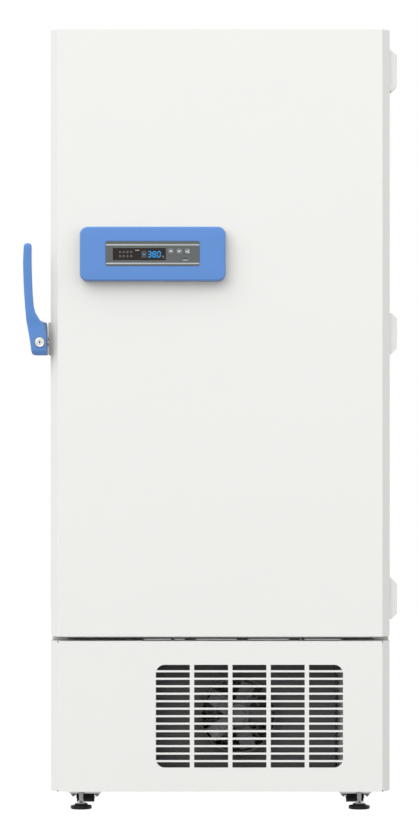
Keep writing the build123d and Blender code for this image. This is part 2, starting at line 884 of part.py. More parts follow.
def base_tray():
    """Floor pan of the machine compartment with upturned edges and square stud holes."""
    reach = half_width - sheet - snug
    rear = cabinet_depth - sheet - snug
    tray = block((-reach, reach), (tray_front, rear), (tray_bottom, tray_top))
    upstand = (tray_top, tray_top + tray_upstand)
    for side in (-1, 1):
        x = sorted((side * (reach - tray_sheet), side * reach))
        tray += block(x, (tray_front, rear), upstand)
    tray += block((-reach, reach), (rear - tray_sheet, rear), upstand)
    half = stud_hole / 2
    for x, y in foot_places():
        tray -= block((x - half, x + half), (y - half, y + half), (tray_bottom, tray_top))
    return tray


def foot_places():
    """Plan positions of the four levelling feet."""
    return [(side * foot_x, y) for y in (foot_front_y, foot_rear_y) for side in (-1, 1)]


def caster_places():
    """Plan positions of the four transport rollers."""
    return [(side * caster_x, y) for y in (caster_front_y, caster_rear_y) for side in (-1, 1)]


def base_rails():
    """Two open channels under the tray, cut out above the rollers."""
    rails = []
    floor = rail_bottom + rail_sheet
    for side in (-1, 1):
        x = (side * caster_x - rail_width / 2, side * caster_x + rail_width / 2)
        rail = block(x, rail_ends, (rail_bottom, tray_bottom))
        rail -= block((x[0] + rail_sheet, x[1] - rail_sheet), rail_ends, (floor, tray_bottom))
        for y in (caster_front_y, caster_rear_y):
            rail -= caster_opening(side * caster_x, y, rail_bottom, floor)
        rails.append(rail)
    return rails


def caster_opening(x, y, low, high):
    """Opening that a roller passes through."""
    half = wheel_width / 2 + cheek_gap + cheek_thickness
    reach = caster_opening_length / 2
    return block((x - half, x + half), (y - reach, y + reach), (low, high))


def caster_housings():
    """Flanged pressings under the rails, each with its riveted axle."""
    housings = []
    width, length, thickness = caster_flange
    half = caster_opening_length / 2
    for x, y in caster_places():
        low = rail_bottom - thickness
        span = (x - width / 2, x + width / 2)
        flange = block(span, (y - length / 2, y + length / 2), (low, rail_bottom))
        flange -= caster_opening(x, y, low, rail_bottom)
        inner = wheel_width / 2 + cheek_gap
        for side in (-1, 1):
            span = sorted((x + side * inner, x + side * (inner + cheek_thickness)))
            cheek = block(span, (y - half, y + half), (wheel_centre_z - cheek_drop, rail_bottom))
            low_edges = cheek.edges().filter_by(Axis.X).sort_by(Axis.Z)[0:2]
            flange += chamfer(low_edges, cheek_drop)
        axle = rod((x - inner, y, wheel_centre_z), (1, 0, 0), axle_radius, 2 * inner)
        housings.append(flange + axle)
    return housings


def caster_wheel(x, y):
    """Solid roller on its axle."""
    start = (x - wheel_width / 2, y, wheel_centre_z)
    roller = rod(start, (1, 0, 0), wheel_radius, wheel_width)
    return roller - rod(start, (1, 0, 0), axle_radius + running, wheel_width)


def levelling_foot(x, y):
    """Pad with a coned top under a threaded stud."""
    neck = (pad_neck_radius, pad_height)
    outline = Polyline((0, 0), (pad_radius, 0), (pad_radius, pad_rim), neck, (0, pad_height), close=True)
    pad = revolve(Plane.XZ * make_face(outline), Axis.Z)
    stud = rod((0, 0, pad_height), (0, 0, 1), stud_radius, stud_top - pad_height)
    return [Pos(x, y, 0) * pad, Pos(x, y, 0) * stud]


def fan_plane(y):
    """Front-facing plane on the fan's axis."""
    return facing_front(fan_centre[0], y, fan_centre[1])


def fan_shroud():
    """Duct from the condenser to the fan, with a wide baffle, the venturi ring and the guard."""
    width, height = core_size
    rear = core_front
    duct = extrude(fan_plane(rear) * Rectangle(width, height), amount=rear - fan_plate_y)
    inner = Rectangle(width - 2 * duct_sheet, height - 2 * duct_sheet)
    duct -= extrude(fan_plane(rear) * inner, amount=rear - fan_plate_y - duct_sheet)
    baffle = (baffle_left, box_corner[0] - baffle_gap)
    duct += block(baffle, (fan_plate_y, fan_plate_y + duct_sheet), (tray_top, baffle_top))
    duct += extrude(fan_plane(fan_plate_y) * Circle(fan_ring_radius), amount=fan_plate_y - fan_front)
    duct -= extrude(fan_plane(rear) * Circle(fan_ring_radius - fan_ring_wall), amount=rear - fan_front)
    duct += fan_guard()
    arm_width, arm_depth = motor_arm
    arm_y = motor_front + motor_depth
    reach = width / 2 - duct_sheet
    x = (fan_centre[0] - reach, fan_centre[0] + reach)
    for side in (-1, 1):
        z = fan_centre[1] + side * (motor_radius - arm_width)
        duct += block(x, (arm_y, arm_y + arm_depth), (z - arm_width / 2, z + arm_width / 2))
    return duct


def fan_guard():
    """Concentric guard rings joined by radial bars."""
    reach = fan_ring_radius - fan_ring_wall / 2
    step = (reach - guard_hub) / guard_rings
    guard = Sketch()
    for index in range(guard_rings):
        radius = guard_hub + index * step
        guard += Circle(radius + guard_wire / 2) - Circle(radius - guard_wire / 2)
    length = reach - guard_hub
    bar = Pos(guard_hub + length / 2, 0) * Rectangle(length, guard_wire)
    for index in range(guard_bars):
        guard += Rot(0, 0, 45 + index * 360 / guard_bars) * bar
    return extrude(fan_plane(fan_front) * guard, amount=guard_wire)


def fan_blade():
    """One flat pitched blade from the hub to the tip circle."""
    start = fan_hub_radius - blade_sink
    length = fan_ring_radius - fan_ring_wall - fan_tip_gap - start
    plate = Rot(blade_pitch, 0, 0) * Box(length, blade_chord, blade_thickness)
    return Pos(start + length / 2, 0, 0) * plate


def fan_rotor():
    """Hub with pitched blades on the motor's shaft."""
    rotor = Cylinder(fan_hub_radius, fan_hub_depth)
    for index in range(fan_blades):
        rotor += Rot(0, 0, index * 360 / fan_blades) * fan_blade()
    rotor -= Cylinder(shaft_radius + running, fan_hub_depth)
    return fan_plane(motor_front - motor_gap - fan_hub_depth / 2) * rotor


def fan_motor():
    """Fan motor with its shaft through the hub."""
    motor = extrude(fan_plane(motor_front + motor_depth) * Circle(motor_radius), amount=motor_depth)
    shaft = extrude(fan_plane(motor_front) * Circle(shaft_radius), amount=motor_gap + fan_hub_depth)
    return motor + shaft


def header_x(side):
    """Middle of one of the condenser's headers."""
    return fan_centre[0] + side * (core_size[0] - header_width) / 2


def condenser_core():
    """Two upright headers joined by flat tubes, standing on two feet."""
    width, height = core_size
    y = core_front + core_depth / 2
    bottom = fan_centre[1] - height / 2
    left = fan_centre[0] - width / 2
    right = fan_centre[0] + width / 2
    deep = (y - core_depth / 2, y + core_depth / 2)
    thin = (y - core_tube_depth / 2, y + core_tube_depth / 2)
    core = block((left, left + header_width), deep, (tray_top, bottom + height))
    core += block((right - header_width, right), deep, (tray_top, bottom + height))
    pitch = height / core_tubes
    for index in range(core_tubes):
        z = bottom + pitch * (index + 0.5)
        span = (left + header_width, right - header_width)
        core += block(span, thin, (z - core_tube_height / 2, z + core_tube_height / 2))
    return core


def compressor_base():
    """Height of the top face of the compressor's foot plate."""
    return tray_top + mount_rubber_height + compressor_foot[2]


def compressor():
    """Hermetic compressor: a domed shell with its foot plate and relay box."""
    x = header_x(-1)
    y = compressor_y
    radius = compressor_radius
    base = compressor_base()
    top = base + compressor_height
    rim = (radius, top - compressor_dome)
    dome = Polyline((radius, base), rim, (compressor_crown, top), (0, top))
    outline = make_face([dome, Polyline(dome @ 1, (0, base), (radius, base))])
    shell = Pos(x, y, 0) * revolve(Plane.XZ * outline, Axis.Z)
    length, width, thickness = compressor_foot
    span = (x - length / 2, x + length / 2)
    foot = block(span, (y - width / 2, y + width / 2), (base - thickness, base))
    relay_length, relay_width, relay_height = relay_box
    relay_x = x + radius - relay_sink
    low = base + relay_lift
    depth = (y - relay_length / 2, y + relay_length / 2)
    return shell + foot + block((relay_x, relay_x + relay_width), depth, (low, low + relay_height))


def compressor_mounts():
    """Rubber blocks between the tray and the compressor's foot plate."""
    half = mount_rubber / 2
    z = (tray_top, tray_top + mount_rubber_height)
    dx = compressor_foot[0] / 2 - mount_rubber / 2
    dy = compressor_foot[1] / 2 - mount_rubber / 2
    places = [(header_x(-1) + i * dx, compressor_y + j * dy) for i in (-1, 1) for j in (-1, 1)]
    return [block((x - half, x + half), (y - half, y + half), z) for x, y in places]


def refrigerant_lines():
    """Discharge tube, suction tube, and the filter drier with its riser."""
    core_rear = core_front + core_depth
    left = header_x(-1)
    right = header_x(1)
    base = compressor_base()
    ceiling = foam_bottom - sheet
    shell_front = compressor_y - compressor_radius
    discharge = rod((left, core_rear, base + line_height), (0, 1, 0), line_radius, shell_front - core_rear)
    shell_top = base + compressor_height
    suction = rod((left, compressor_y, shell_top), (0, 0, 1), line_radius, ceiling - shell_top)
    low = fan_centre[1] - core_size[1] / 2 + header_width
    riser_y = core_rear + 2 * line_stub + drier_length
    liquid = rod((right, core_rear, low), (0, 1, 0), line_radius, riser_y - core_rear)
    liquid += rod((right, core_rear + line_stub, low), (0, 1, 0), drier_radius, drier_length)
    liquid += rod((right, riser_y, low - line_radius), (0, 0, 1), line_radius, ceiling - low + line_radius)
    return [discharge, suction, liquid]


def electrical_box():
    """Closed control box on the tray with bevelled upright edges."""
    x, y = box_corner
    width, depth, height = box_size
    box = block((x, x + width), (y, y + depth), (tray_top, tray_top + height))
    return chamfer(box.edges().filter_by(Axis.Z), box_edge)


def power_inlet():
    """Flanged appliance inlet in the rear cover, with three pins."""
    x, z = inlet_centre
    flange, body, socket = inlet_depths
    outside = cabinet_depth + sheet
    face = facing_front(x, outside + flange, z)
    inlet = extrude(face * Rectangle(*inlet_size), amount=flange)
    inlet += extrude(face * Rectangle(*inlet_body), amount=flange + body)
    inlet -= extrude(face * Rectangle(*inlet_socket), amount=flange + socket)
    for dx, dz in inlet_pin_offsets:
        pin = facing_front(x + dx, outside, z + dz)
        inlet += extrude(pin * Rectangle(*inlet_pin), amount=socket)
    return inlet


def machine_rear_cover():
    """Rear cover of the machine compartment with exhaust slots."""
    reach = half_width - rear_margin
    y = (cabinet_depth, cabinet_depth + sheet)
    cover = block((-reach, reach), y, (panel_bottom + rear_margin, foam_bottom - cover_gap))
    plane = facing_front(rear_slot_x, y[1], foam_bottom - rear_slot_drop)
    slots = pattern(plane, GridLocations(*rear_slot_pitch, *rear_slot_grid), Rectangle(*rear_slot))
    cover -= extrude(slots, amount=sheet)
    hole = facing_front(inlet_centre[0], y[1], inlet_centre[1])
    opening = Rectangle(inlet_body[0] + 2 * snug, inlet_body[1] + 2 * snug)
    return cover - extrude(hole * opening, amount=sheet)


def nodes():
    """Every named piece of the freezer in the modelling frame."""
    low_shelf, middle_shelf, high_shelf = shelf_heights()
    pieces = {
        "left_side_panel": side_panel(-1),
        "right_side_panel": side_panel(1),
        "top_panel": top_panel(),
        "rear_panel": rear_panel(),
        "machine_ceiling": machine_ceiling(),
        "cabinet_foam": foam_body(),
        "inner_liner": inner_liner(),
        "breaker_frame": breaker_frame(),
        "shelf_lower": shelf(low_shelf),
        "shelf_middle": shelf(middle_shelf),
        "shelf_upper": shelf(high_shelf),
        "shelf_strips": shelf_strips(),
        "evaporator_coil": evaporator_coil(),
        "temperature_probe": temperature_probe(),
        "base_tray": base_tray(),
        "base_rails": base_rails(),
        "front_grille_panel": front_grille_panel(),
        "condenser_core": condenser_core(),
        "fan_shroud": fan_shroud(),
        "fan_motor": fan_motor(),
        "fan_rotor": fan_rotor(),
        "compressor": compressor(),
        "compressor_mounts": compressor_mounts(),
        "refrigerant_lines": refrigerant_lines(),
        "electrical_box": electrical_box(),
        "power_inlet": power_inlet(),
        "machine_rear_cover": machine_rear_cover(),
        "latch_keeper": latch_keeper(),
        "hinge_cabinet_leaves": hinge_cabinet_leaves(),
        "hinge_pins": hinge_pins(),
        "caster_housings": caster_housings(),
        "door_skin": door_skin(),
        "door_foam": door_foam(),
        "door_liner": door_liner(),
        "door_gasket": door_gasket(),
        "hinge_door_leaves": hinge_door_leaves(),
        "controller_housing": controller_housing(),
        "controller_bezel": bezel(),
        "display_window": display_window(),
        "display_board": display_board(),
        "key_up": key(0),
        "key_down": key(1),
        "key_confirm": key(2),
        "handle_mount": handle_mount(),
        "handle_pivot": handle_pivot(),
        "handle_lever": handle_lever(),
        "latch_hook": latch_hook(),
        "lock_barrel": lock_barrel(),
        "lock_plug": lock_plug(),
    }
    corners = ("front_left", "front_right", "rear_left", "rear_right")
    for corner, place in zip(corners, caster_places()):
        pieces["caster_wheel_" + corner] = caster_wheel(*place)
    for corner, place in zip(corners, foot_places()):
        pieces["levelling_foot_" + corner] = levelling_foot(*place)
    return pieces


def row_origin():
    """Plan position of the middle of the whole freezer's box."""
    x = (pivot_x + hinge_barrel_radius - lever_outer) / 2
    front = door_front - controller_depth - key_proud
    rear = cabinet_depth + sheet + inlet_depths[0]
    return x, (front + rear) / 2


def main():
    os.makedirs("parts", exist_ok=True)
    x, y = row_origin()
    shift = Pos(-x, -y, 0)
    for name, piece in nodes().items():
        solids = piece if isinstance(piece, list) else [piece]
        parts = [solid for item in solids for solid in (shift * item).solids()]
        whole = parts[0] if len(parts) == 1 else Compound(children=parts)
        export_step(whole, f"parts/{name}.step")


if __name__ == "__main__":
    main()
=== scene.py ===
from math import cos, pi, radians, sin

import bmesh
import bpy
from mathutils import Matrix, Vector


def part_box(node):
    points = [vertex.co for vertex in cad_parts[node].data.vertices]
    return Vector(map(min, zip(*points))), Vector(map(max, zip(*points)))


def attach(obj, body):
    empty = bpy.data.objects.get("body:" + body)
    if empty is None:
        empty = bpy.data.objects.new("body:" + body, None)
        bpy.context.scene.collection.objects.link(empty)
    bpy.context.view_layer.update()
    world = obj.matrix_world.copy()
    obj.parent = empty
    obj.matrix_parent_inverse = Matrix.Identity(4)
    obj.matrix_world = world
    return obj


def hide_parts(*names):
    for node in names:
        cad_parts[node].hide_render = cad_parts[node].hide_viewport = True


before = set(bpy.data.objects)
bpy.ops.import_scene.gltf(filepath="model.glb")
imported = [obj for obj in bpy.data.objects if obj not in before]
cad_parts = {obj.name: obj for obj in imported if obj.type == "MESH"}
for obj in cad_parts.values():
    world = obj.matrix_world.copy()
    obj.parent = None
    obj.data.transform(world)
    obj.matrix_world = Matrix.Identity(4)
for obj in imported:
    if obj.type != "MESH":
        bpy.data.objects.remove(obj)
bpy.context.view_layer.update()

bl_info = {
    "name": "Laboratory freezer",
    "version": (1, 0, 0),
    "blender": (4, 5, 0),
    "location": "View3D > Sidebar > Freezer",
    "description": "Dresses the upright laboratory freezer's frame with its finishes and fine pieces",
    "category": "Object",
}

# The pieces are laid out in millimetres: x from the cabinet's middle, y from the plane of its
# front flanges towards the rear, z from the floor.
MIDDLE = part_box("top_panel")[0].x / 2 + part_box("top_panel")[1].x / 2
FLANGE_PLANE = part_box("door_skin")[0].y + 0.092
FRONT = -92.0
CORNERS = ("front_left", "front_right", "rear_left", "rear_right")

# Places of the printed marks and of the bend reliefs on the front, across and up.
LAMP_COLUMNS = (-249.6, -240.3, -231.1, -221.9)
LAMP_ROWS = (1397.6, 1387.2)
FIGURE_COLUMNS = (-176.1, -164.4, -152.7)
FIGURE_ROW = 1391.8
POINT = (-158.4, 1384.3)
SIGN = (-189.8, 1391.8)
DASH = (-206.5, 1401.9)
UNIT_RING = (-143.6, 1387.2)
UNIT_ARC = (-140.4, 1384.6)
PORT = (-86.9, 1380.3)
PORT_LIP_DROP = 2.7
PORT_MARK = (-76.4, 1380.0)
TRIM_ROWS = (1415.4, 1369.0)
RELIEF_COLUMNS = (-405.4, 405.4)
RELIEF_ROWS = (424.4, 52.4)

# Where the light comes from, and where the picture's middle lies.
LAMP_FROM = (-0.46, -0.60, 0.64)
BRIGHT_SKY = (0.05, -0.70, 0.70)
LAMP_SPREAD = 50.0
PICTURE_SHIFT = (-0.01358, -0.0024)
FLOOR_CORNERS = [(-9.0, -12.0), (9.0, -12.0), (9.0, 9.0), (-9.0, 9.0)]

# The lever's sections from its foot up: height, left, front right, rear right, front, rear.
LEVER_SECTIONS = [
    (1141.0, -464.5, -434.4, -434.4, -86.5, -14.0), (1141.5, -466.6, -434.0, -434.0, -88.5, -12.4),
    (1143.0, -468.6, -434.0, -434.0, -90.0, -12.0), (1145.0, -470.2, -434.0, -434.0, -91.2, -12.0),
    (1150.6, -472.0, -434.0, -434.0, -95.6, -12.0), (1151.8, -472.3, -434.0, -434.0, -96.2, -12.0),
    (1162.0, -473.6, -434.0, -434.0, -96.9, -12.0), (1172.0, -474.9, -434.0, -434.0, -97.4, -12.0),
    (1187.0, -477.2, -434.0, -434.0, -98.3, -12.0), (1197.0, -478.8, -434.7, -434.0, -98.9, -12.0),
    (1204.0, -480.1, -436.6, -434.0, -99.4, -12.2), (1210.0, -481.2, -439.0, -434.0, -99.9, -15.0),
    (1215.0, -482.1, -442.0, -434.0, -100.5, -22.0), (1219.5, -482.9, -445.0, -434.0, -101.2, -38.0),
    (1222.6, -483.4, -447.2, -434.3, -101.8, -52.0), (1223.6, -483.6, -448.0, -437.5, -102.1, -60.0),
    (1228.0, -484.2, -450.6, -449.8, -103.0, -67.0), (1236.0, -485.0, -455.2, -455.2, -104.4, -71.5),
    (1247.0, -485.9, -461.7, -461.7, -105.6, -75.5), (1262.0, -487.3, -465.9, -465.9, -107.0, -80.0),
    (1277.0, -488.1, -467.1, -467.1, -108.2, -83.0), (1292.0, -489.3, -468.0, -468.0, -109.2, -85.5),
    (1307.0, -489.9, -468.9, -468.9, -110.2, -87.2), (1322.0, -490.7, -469.4, -469.4, -111.1, -88.8),
    (1345.0, -491.3, -470.1, -470.1, -112.8, -90.4), (1370.0, -491.9, -470.6, -470.6, -114.6, -92.0),
    (1390.0, -491.2, -470.7, -470.7, -116.0, -93.0), (1407.0, -490.3, -470.3, -470.3, -117.2, -93.8),
    (1413.5, -489.8, -470.7, -470.7, -117.6, -94.2), (1417.0, -488.6, -471.8, -471.8, -117.0, -94.8),
    (1419.2, -486.6, -473.8, -473.8, -115.8, -96.2), (1420.0, -484.0, -476.4, -476.4, -113.6, -98.4),
]


def at(x, y, z):
    """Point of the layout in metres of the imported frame."""
    return Vector((MIDDLE + x / 1000, FLANGE_PLANE + y / 1000, z / 1000))


def layout(point):
    """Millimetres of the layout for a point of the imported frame."""
    return (point.x - MIDDLE) * 1000, (point.y - FLANGE_PLANE) * 1000, point.z * 1000


def colour_value(name, description, default):
    return bpy.props.FloatVectorProperty(
        name=name, description=description, default=default, size=3, min=0.0, max=1.0, subtype="COLOR"
    )


def length_value(name, description, default):
    return bpy.props.FloatProperty(
        name=name, description=description, default=default, min=0.0001, unit="LENGTH", subtype="DISTANCE"
    )


class FreezerFinishes(bpy.types.PropertyGroup):
    """Colours of the freezer's finishes."""

    paint: colour_value("Paint", "Powder coat on the door, panels and hinge covers", (0.885, 0.885, 0.86))
    blue: colour_value("Blue", "Plastic of the lever and the controller housing", (0.108, 0.272, 0.665))
    liner: colour_value("Liner", "Paint of the inner box and its shelves", (0.80, 0.82, 0.83))
    fascia: colour_value("Fascia", "Printed film round the display", (0.105, 0.118, 0.118))
    window: colour_value("Window", "Smoked display window", (0.030, 0.023, 0.021))
    figures: colour_value("Figures", "Lit figures of the display", (0.010, 0.270, 0.640))
    rubber: colour_value("Rubber", "Pads and rollers", (0.006, 0.006, 0.006))
    machinery: colour_value("Machinery", "Parts behind the intake slots", (0.055, 0.055, 0.056))


class FreezerSizes(bpy.types.PropertyGroup):
    """Sizes of the freezer's fine pieces."""

    housing_round: length_value("Housing rounding", "Radius round the controller housing's rim", 0.004)
    lever_round: length_value("Lever rounding", "Radius along the lever's front edges", 0.0045)
    screw: length_value("Screw head", "Radius of the sheet metal screws' heads", 0.0042)
    stud_pitch: length_value("Stud pitch", "Pitch of the thread on the levelling feet", 0.00175)
    dot: length_value("Lamp", "Radius of the display's round lamps", 0.003)


class FreezerView(bpy.types.PropertyGroup):
    """Camera, light and floor."""

    distance: length_value("Distance", "From the camera to the door's front", 9.6)
    eye: length_value("Eye height", "Height of the camera above the floor", 1.0027)
    lens: bpy.props.FloatProperty(
        name="Lens", description="Focal length in millimetres", default=167.65, min=10.0, max=400.0
    )
    daylight: bpy.props.FloatProperty(
        name="Daylight", description="Strength of the light from all round", default=0.79, min=0.0, max=4.0
    )
    slope: bpy.props.FloatProperty(
        name="Slope", description="How much stronger the light is above the front", default=0.5,
        min=0.0, max=2.0
    )
    key: bpy.props.FloatProperty(
        name="Key", description="Strength of the soft lamp at the upper left", default=1.05, min=0.0, max=20.0
    )
    floor: colour_value("Floor", "Colour of the plain floor", (0.22, 0.22, 0.22))
    floor_glow: bpy.props.FloatProperty(
        name="Floor glow", description="Brightness that the camera alone sees on the floor", default=0.97,
        min=0.0, max=1.0
    )


def rounded_outline(width, height, radius, steps=7):
    """Points of a rounded rectangle round its middle, anticlockwise."""
    points = []
    for turn, (sx, sy) in enumerate(((1, 1), (-1, 1), (-1, -1), (1, -1))):
        cx = sx * (width / 2 - radius)
        cy = sy * (height / 2 - radius)
        for step in range(steps + 1):
            angle = pi / 2 * (turn + step / steps)
            points.append((cx + radius * cos(angle), cy + radius * sin(angle)))
    return points


def circle_outline(radius, steps=32):
    """Points of a circle round its middle."""
    return [(radius * cos(2 * pi * i / steps), radius * sin(2 * pi * i / steps)) for i in range(steps)]


def softened(corners, radii, steps=5):
    """Closed outline with an arc-like curve at each of its corners."""
    points = []
    count = len(corners)
    for i, corner in enumerate(corners):
        here = Vector(corner)
        before = Vector(corners[i - 1]) - here
        after = Vector(corners[(i + 1) % count]) - here
        reach = min(radii[i], before.length * 0.49, after.length * 0.49)
        start = here + before.normalized() * reach
        end = here + after.normalized() * reach
        for step in range(steps + 1):
            t = step / steps
            points.append(start * (1 - t) ** 2 + here * (2 * t * (1 - t)) + end * t ** 2)
    return points


def skin(bm, rings, closed=False, caps=True):
    """Joins rings of equal length into one surface."""
    rows = [[bm.verts.new(p) for p in ring] for ring in rings]
    pairs = list(zip(rows, rows[1:]))
    if closed:
        pairs.append((rows[-1], rows[0]))
    count = len(rows[0])
    for low, high in pairs:
        for i in range(count):
            j = (i + 1) % count
            bm.faces.new((low[i], low[j], high[j], high[i]))
    if caps and not closed:
        bm.faces.new(rows[0][::-1])
        bm.faces.new(rows[-1])
    return rows


def turned(bm, centre, axis, profile, steps=32):
    """Turned form: profile holds (radius, distance along the axis), in metres."""
    frame_of = Vector(axis).to_track_quat("Z", "Y").to_matrix()
    rings = []
    for radius, along in profile:
        circle = circle_outline(max(radius, 1e-6), steps)
        rings.append([frame_of @ Vector((u, v, along)) + centre for u, v in circle])
    return skin(bm, rings)


def turned_ring(bm, centre, axis, profile, steps=40):
    """Open turned band with a closed back, for rims and collars."""
    turn = Vector(axis).to_track_quat("Z", "Y").to_matrix()
    rings = []
    for radius, along in profile:
        rings.append([turn @ Vector((u, v, along)) + centre for u, v in circle_outline(radius, steps)])
    skin(bm, rings, closed=True)


def bar(bm, low, high, edge):
    """Straight bar between two corners, in metres, with every edge broken."""
    low, high = Vector(low), Vector(high)
    made = bmesh.ops.create_cube(bm, size=1.0)
    verts = made["verts"]
    middle = (low + high) / 2
    size = high - low
    for vert in verts:
        vert.co = Vector((vert.co.x * size.x, vert.co.y * size.y, vert.co.z * size.z)) + middle
    edges = {e for v in verts for e in v.link_edges}
    bmesh.ops.bevel(bm, geom=list(edges), offset=edge, segments=2, affect="EDGES", profile=0.5)


def front_plate(bm, outline, x, z, back, front, edge=0.0):
    """Plate that faces the front: the outline is in millimetres round (x, z)."""
    rings = [[at(x + u, back, z + v) for u, v in outline]]
    if edge:
        shrink = [Vector(p) * (1 - edge / max(Vector(p).length, edge)) for p in outline]
        rings.append([at(x + u, front + edge, z + v) for u, v in outline])
        rings.append([at(x + u, front, z + v) for u, v in shrink])
    else:
        rings.append([at(x + u, front, z + v) for u, v in outline])
    skin(bm, rings)


def stroke(points, width, closed=False):
    """Outline of a flat line of one width through points on a plane."""
    half = width / 2
    left, right = [], []
    last = len(points) - 1
    for i, point in enumerate(points):
        here = Vector(point)
        before = Vector(points[i - 1]) if (i or closed) else None
        after = Vector(points[(i + 1) % (last + 1)]) if (i < last or closed) else None
        a = (here - before).normalized() if before is not None else None
        b = (after - here).normalized() if after is not None else None
        run = ((a or b) + (b or a)).normalized()
        normal = Vector((-run.y, run.x))
        spread = half / max(normal.dot(Vector((-(a or b).y, (a or b).x))), 0.3)
        left.append(here + normal * spread)
        right.append(here - normal * spread)
    return left, right


def front_line(bm, points, width, x, z, back, front, closed=False):
    """Raised flat line that faces the front."""
    left, right = stroke(points, width, closed)
    rows = []
    for l, r in zip(left, right):
        rows.append([
            bm.verts.new(at(x + l.x, back, z + l.y)), bm.verts.new(at(x + l.x, front, z + l.y)),
            bm.verts.new(at(x + r.x, front, z + r.y)), bm.verts.new(at(x + r.x, back, z + r.y)),
        ])
    pairs = list(zip(rows, rows[1:])) + ([(rows[-1], rows[0])] if closed else [])
    for one, two in pairs:
        for i in range(4):
            j = (i + 1) % 4
            bm.faces.new((one[i], one[j], two[j], two[i]))
    if not closed:
        bm.faces.new(rows[0])
        bm.faces.new(rows[-1][::-1])


def piece(name, bm, body, finish, smooth=35.0):
    """Makes a piece of the freezer from a mesh and hangs it on its body."""
    bmesh.ops.recalc_face_normals(bm, faces=bm.faces)
    mesh = bpy.data.meshes.new(name)
    bm.to_mesh(mesh)
    bm.free()
    made = bpy.data.objects.new(name, mesh)
    bpy.context.scene.collection.objects.link(made)
    mesh.materials.append(bpy.data.materials[finish])
    for face in mesh.polygons:
        face.use_smooth = True
    mesh.set_sharp_from_angle(angle=radians(smooth))
    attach(made, body)
    return made


def cut(made, bm):
    """Takes a closed form out of a piece."""
    mesh = bpy.data.meshes.new("tool")
    bmesh.ops.recalc_face_normals(bm, faces=bm.faces)
    bm.to_mesh(mesh)
    bm.free()
    tool = bpy.data.objects.new("tool", mesh)
    bpy.context.scene.collection.objects.link(tool)
    step = made.modifiers.new("bore", "BOOLEAN")
    step.operation = "DIFFERENCE"
    step.solver = "EXACT"
    step.object = tool
    graph = bpy.context.evaluated_depsgraph_get()
    result = bpy.data.meshes.new_from_object(made.evaluated_get(graph))
    made.modifiers.clear()
    made.data = result
    for face in result.polygons:
        face.use_smooth = True
    result.set_sharp_from_angle(angle=radians(35.0))
    bpy.data.objects.remove(tool)


def effect(name, inputs, outputs):
    """Empty node group with named sockets."""
    tree = bpy.data.node_groups.new(name, "ShaderNodeTree")
    for label, kind, value in inputs:
        socket = tree.interface.new_socket(name=label, in_out="INPUT", socket_type=kind)
        socket.default_value = value
    for label, kind in outputs:
        tree.interface.new_socket(name=label, in_out="OUTPUT", socket_type=kind)
    return tree, tree.nodes.new("NodeGroupInput"), tree.nodes.new("NodeGroupOutput")


def node(tree, kind, **values):
    """Node with its settings, and its input sockets by number."""
    made = tree.nodes.new(kind)
    for key, value in values.items():
        if key.startswith("in"):
            made.inputs[int(key[2:])].default_value = value
        else:
            setattr(made, key, value)
    return made


def noise(tree, vector, scale, detail=2.0):
    """Three dimensional noise whose size follows a socket or a number."""
    made = node(tree, "ShaderNodeTexNoise")
    made.inputs["Detail"].default_value = detail
    tree.links.new(vector, made.inputs["Vector"])
    if hasattr(scale, "is_output"):
        tree.links.new(scale, made.inputs["Scale"])
    else:
        made.inputs["Scale"].default_value = scale
    return made.outputs["Fac"]


def sums(tree, operation, one, two, clamp=False):
    """Arithmetic on sockets and numbers."""
    made = node(tree, "ShaderNodeMath", operation=operation, use_clamp=clamp)
    for place, value in enumerate((one, two)):
        if hasattr(value, "is_output"):
            tree.links.new(value, made.inputs[place])
        else:
            made.inputs[place].default_value = value
    return made.outputs[0]


def blend_colours(tree, share, one, two):
    """Colour between two, by a share."""
    made = node(tree, "ShaderNodeMix", data_type="RGBA")
    tree.links.new(share, made.inputs["Factor"])
    for socket, value in ((made.inputs[6], one), (made.inputs[7], two)):
        if hasattr(value, "is_output"):
            tree.links.new(value, socket)
        else:
            socket.default_value = value
    return made.outputs[2]


def sprayed_grain():
    """Fine grain of a coat or a moulding, with slow changes of tone and gloss."""
    tree, given, put = effect(
        "Sprayed grain",
        [("Colour", "NodeSocketColor", (0.8, 0.8, 0.8, 1.0)), ("Grain", "NodeSocketFloat", 1.0),
         ("Roughness", "NodeSocketFloat", 0.4), ("Spread", "NodeSocketFloat", 0.1)],
        [("Colour", "NodeSocketColor"), ("Roughness", "NodeSocketFloat"), ("Height", "NodeSocketFloat")],
    )
    place = node(tree, "ShaderNodeTexCoord").outputs["Object"]
    scale = sums(tree, "DIVIDE", 1000.0, given.outputs["Grain"])
    fine = noise(tree, place, scale, 1.0)
    slow = noise(tree, place, 5.0, 3.0)
    swing = sums(tree, "SUBTRACT", slow, 0.5)
    change = sums(tree, "MULTIPLY", swing, given.outputs["Spread"])
    tree.links.new(sums(tree, "ADD", given.outputs["Roughness"], change, True), put.inputs["Roughness"])
    shade = node(tree, "ShaderNodeHueSaturation")
    tree.links.new(sums(tree, "ADD", sums(tree, "MULTIPLY", change, 0.25), 1.0), shade.inputs["Value"])
    tree.links.new(given.outputs["Colour"], shade.inputs["Color"])
    tree.links.new(shade.outputs[0], put.inputs["Colour"])
    tree.links.new(fine, put.inputs["Height"])
    return tree


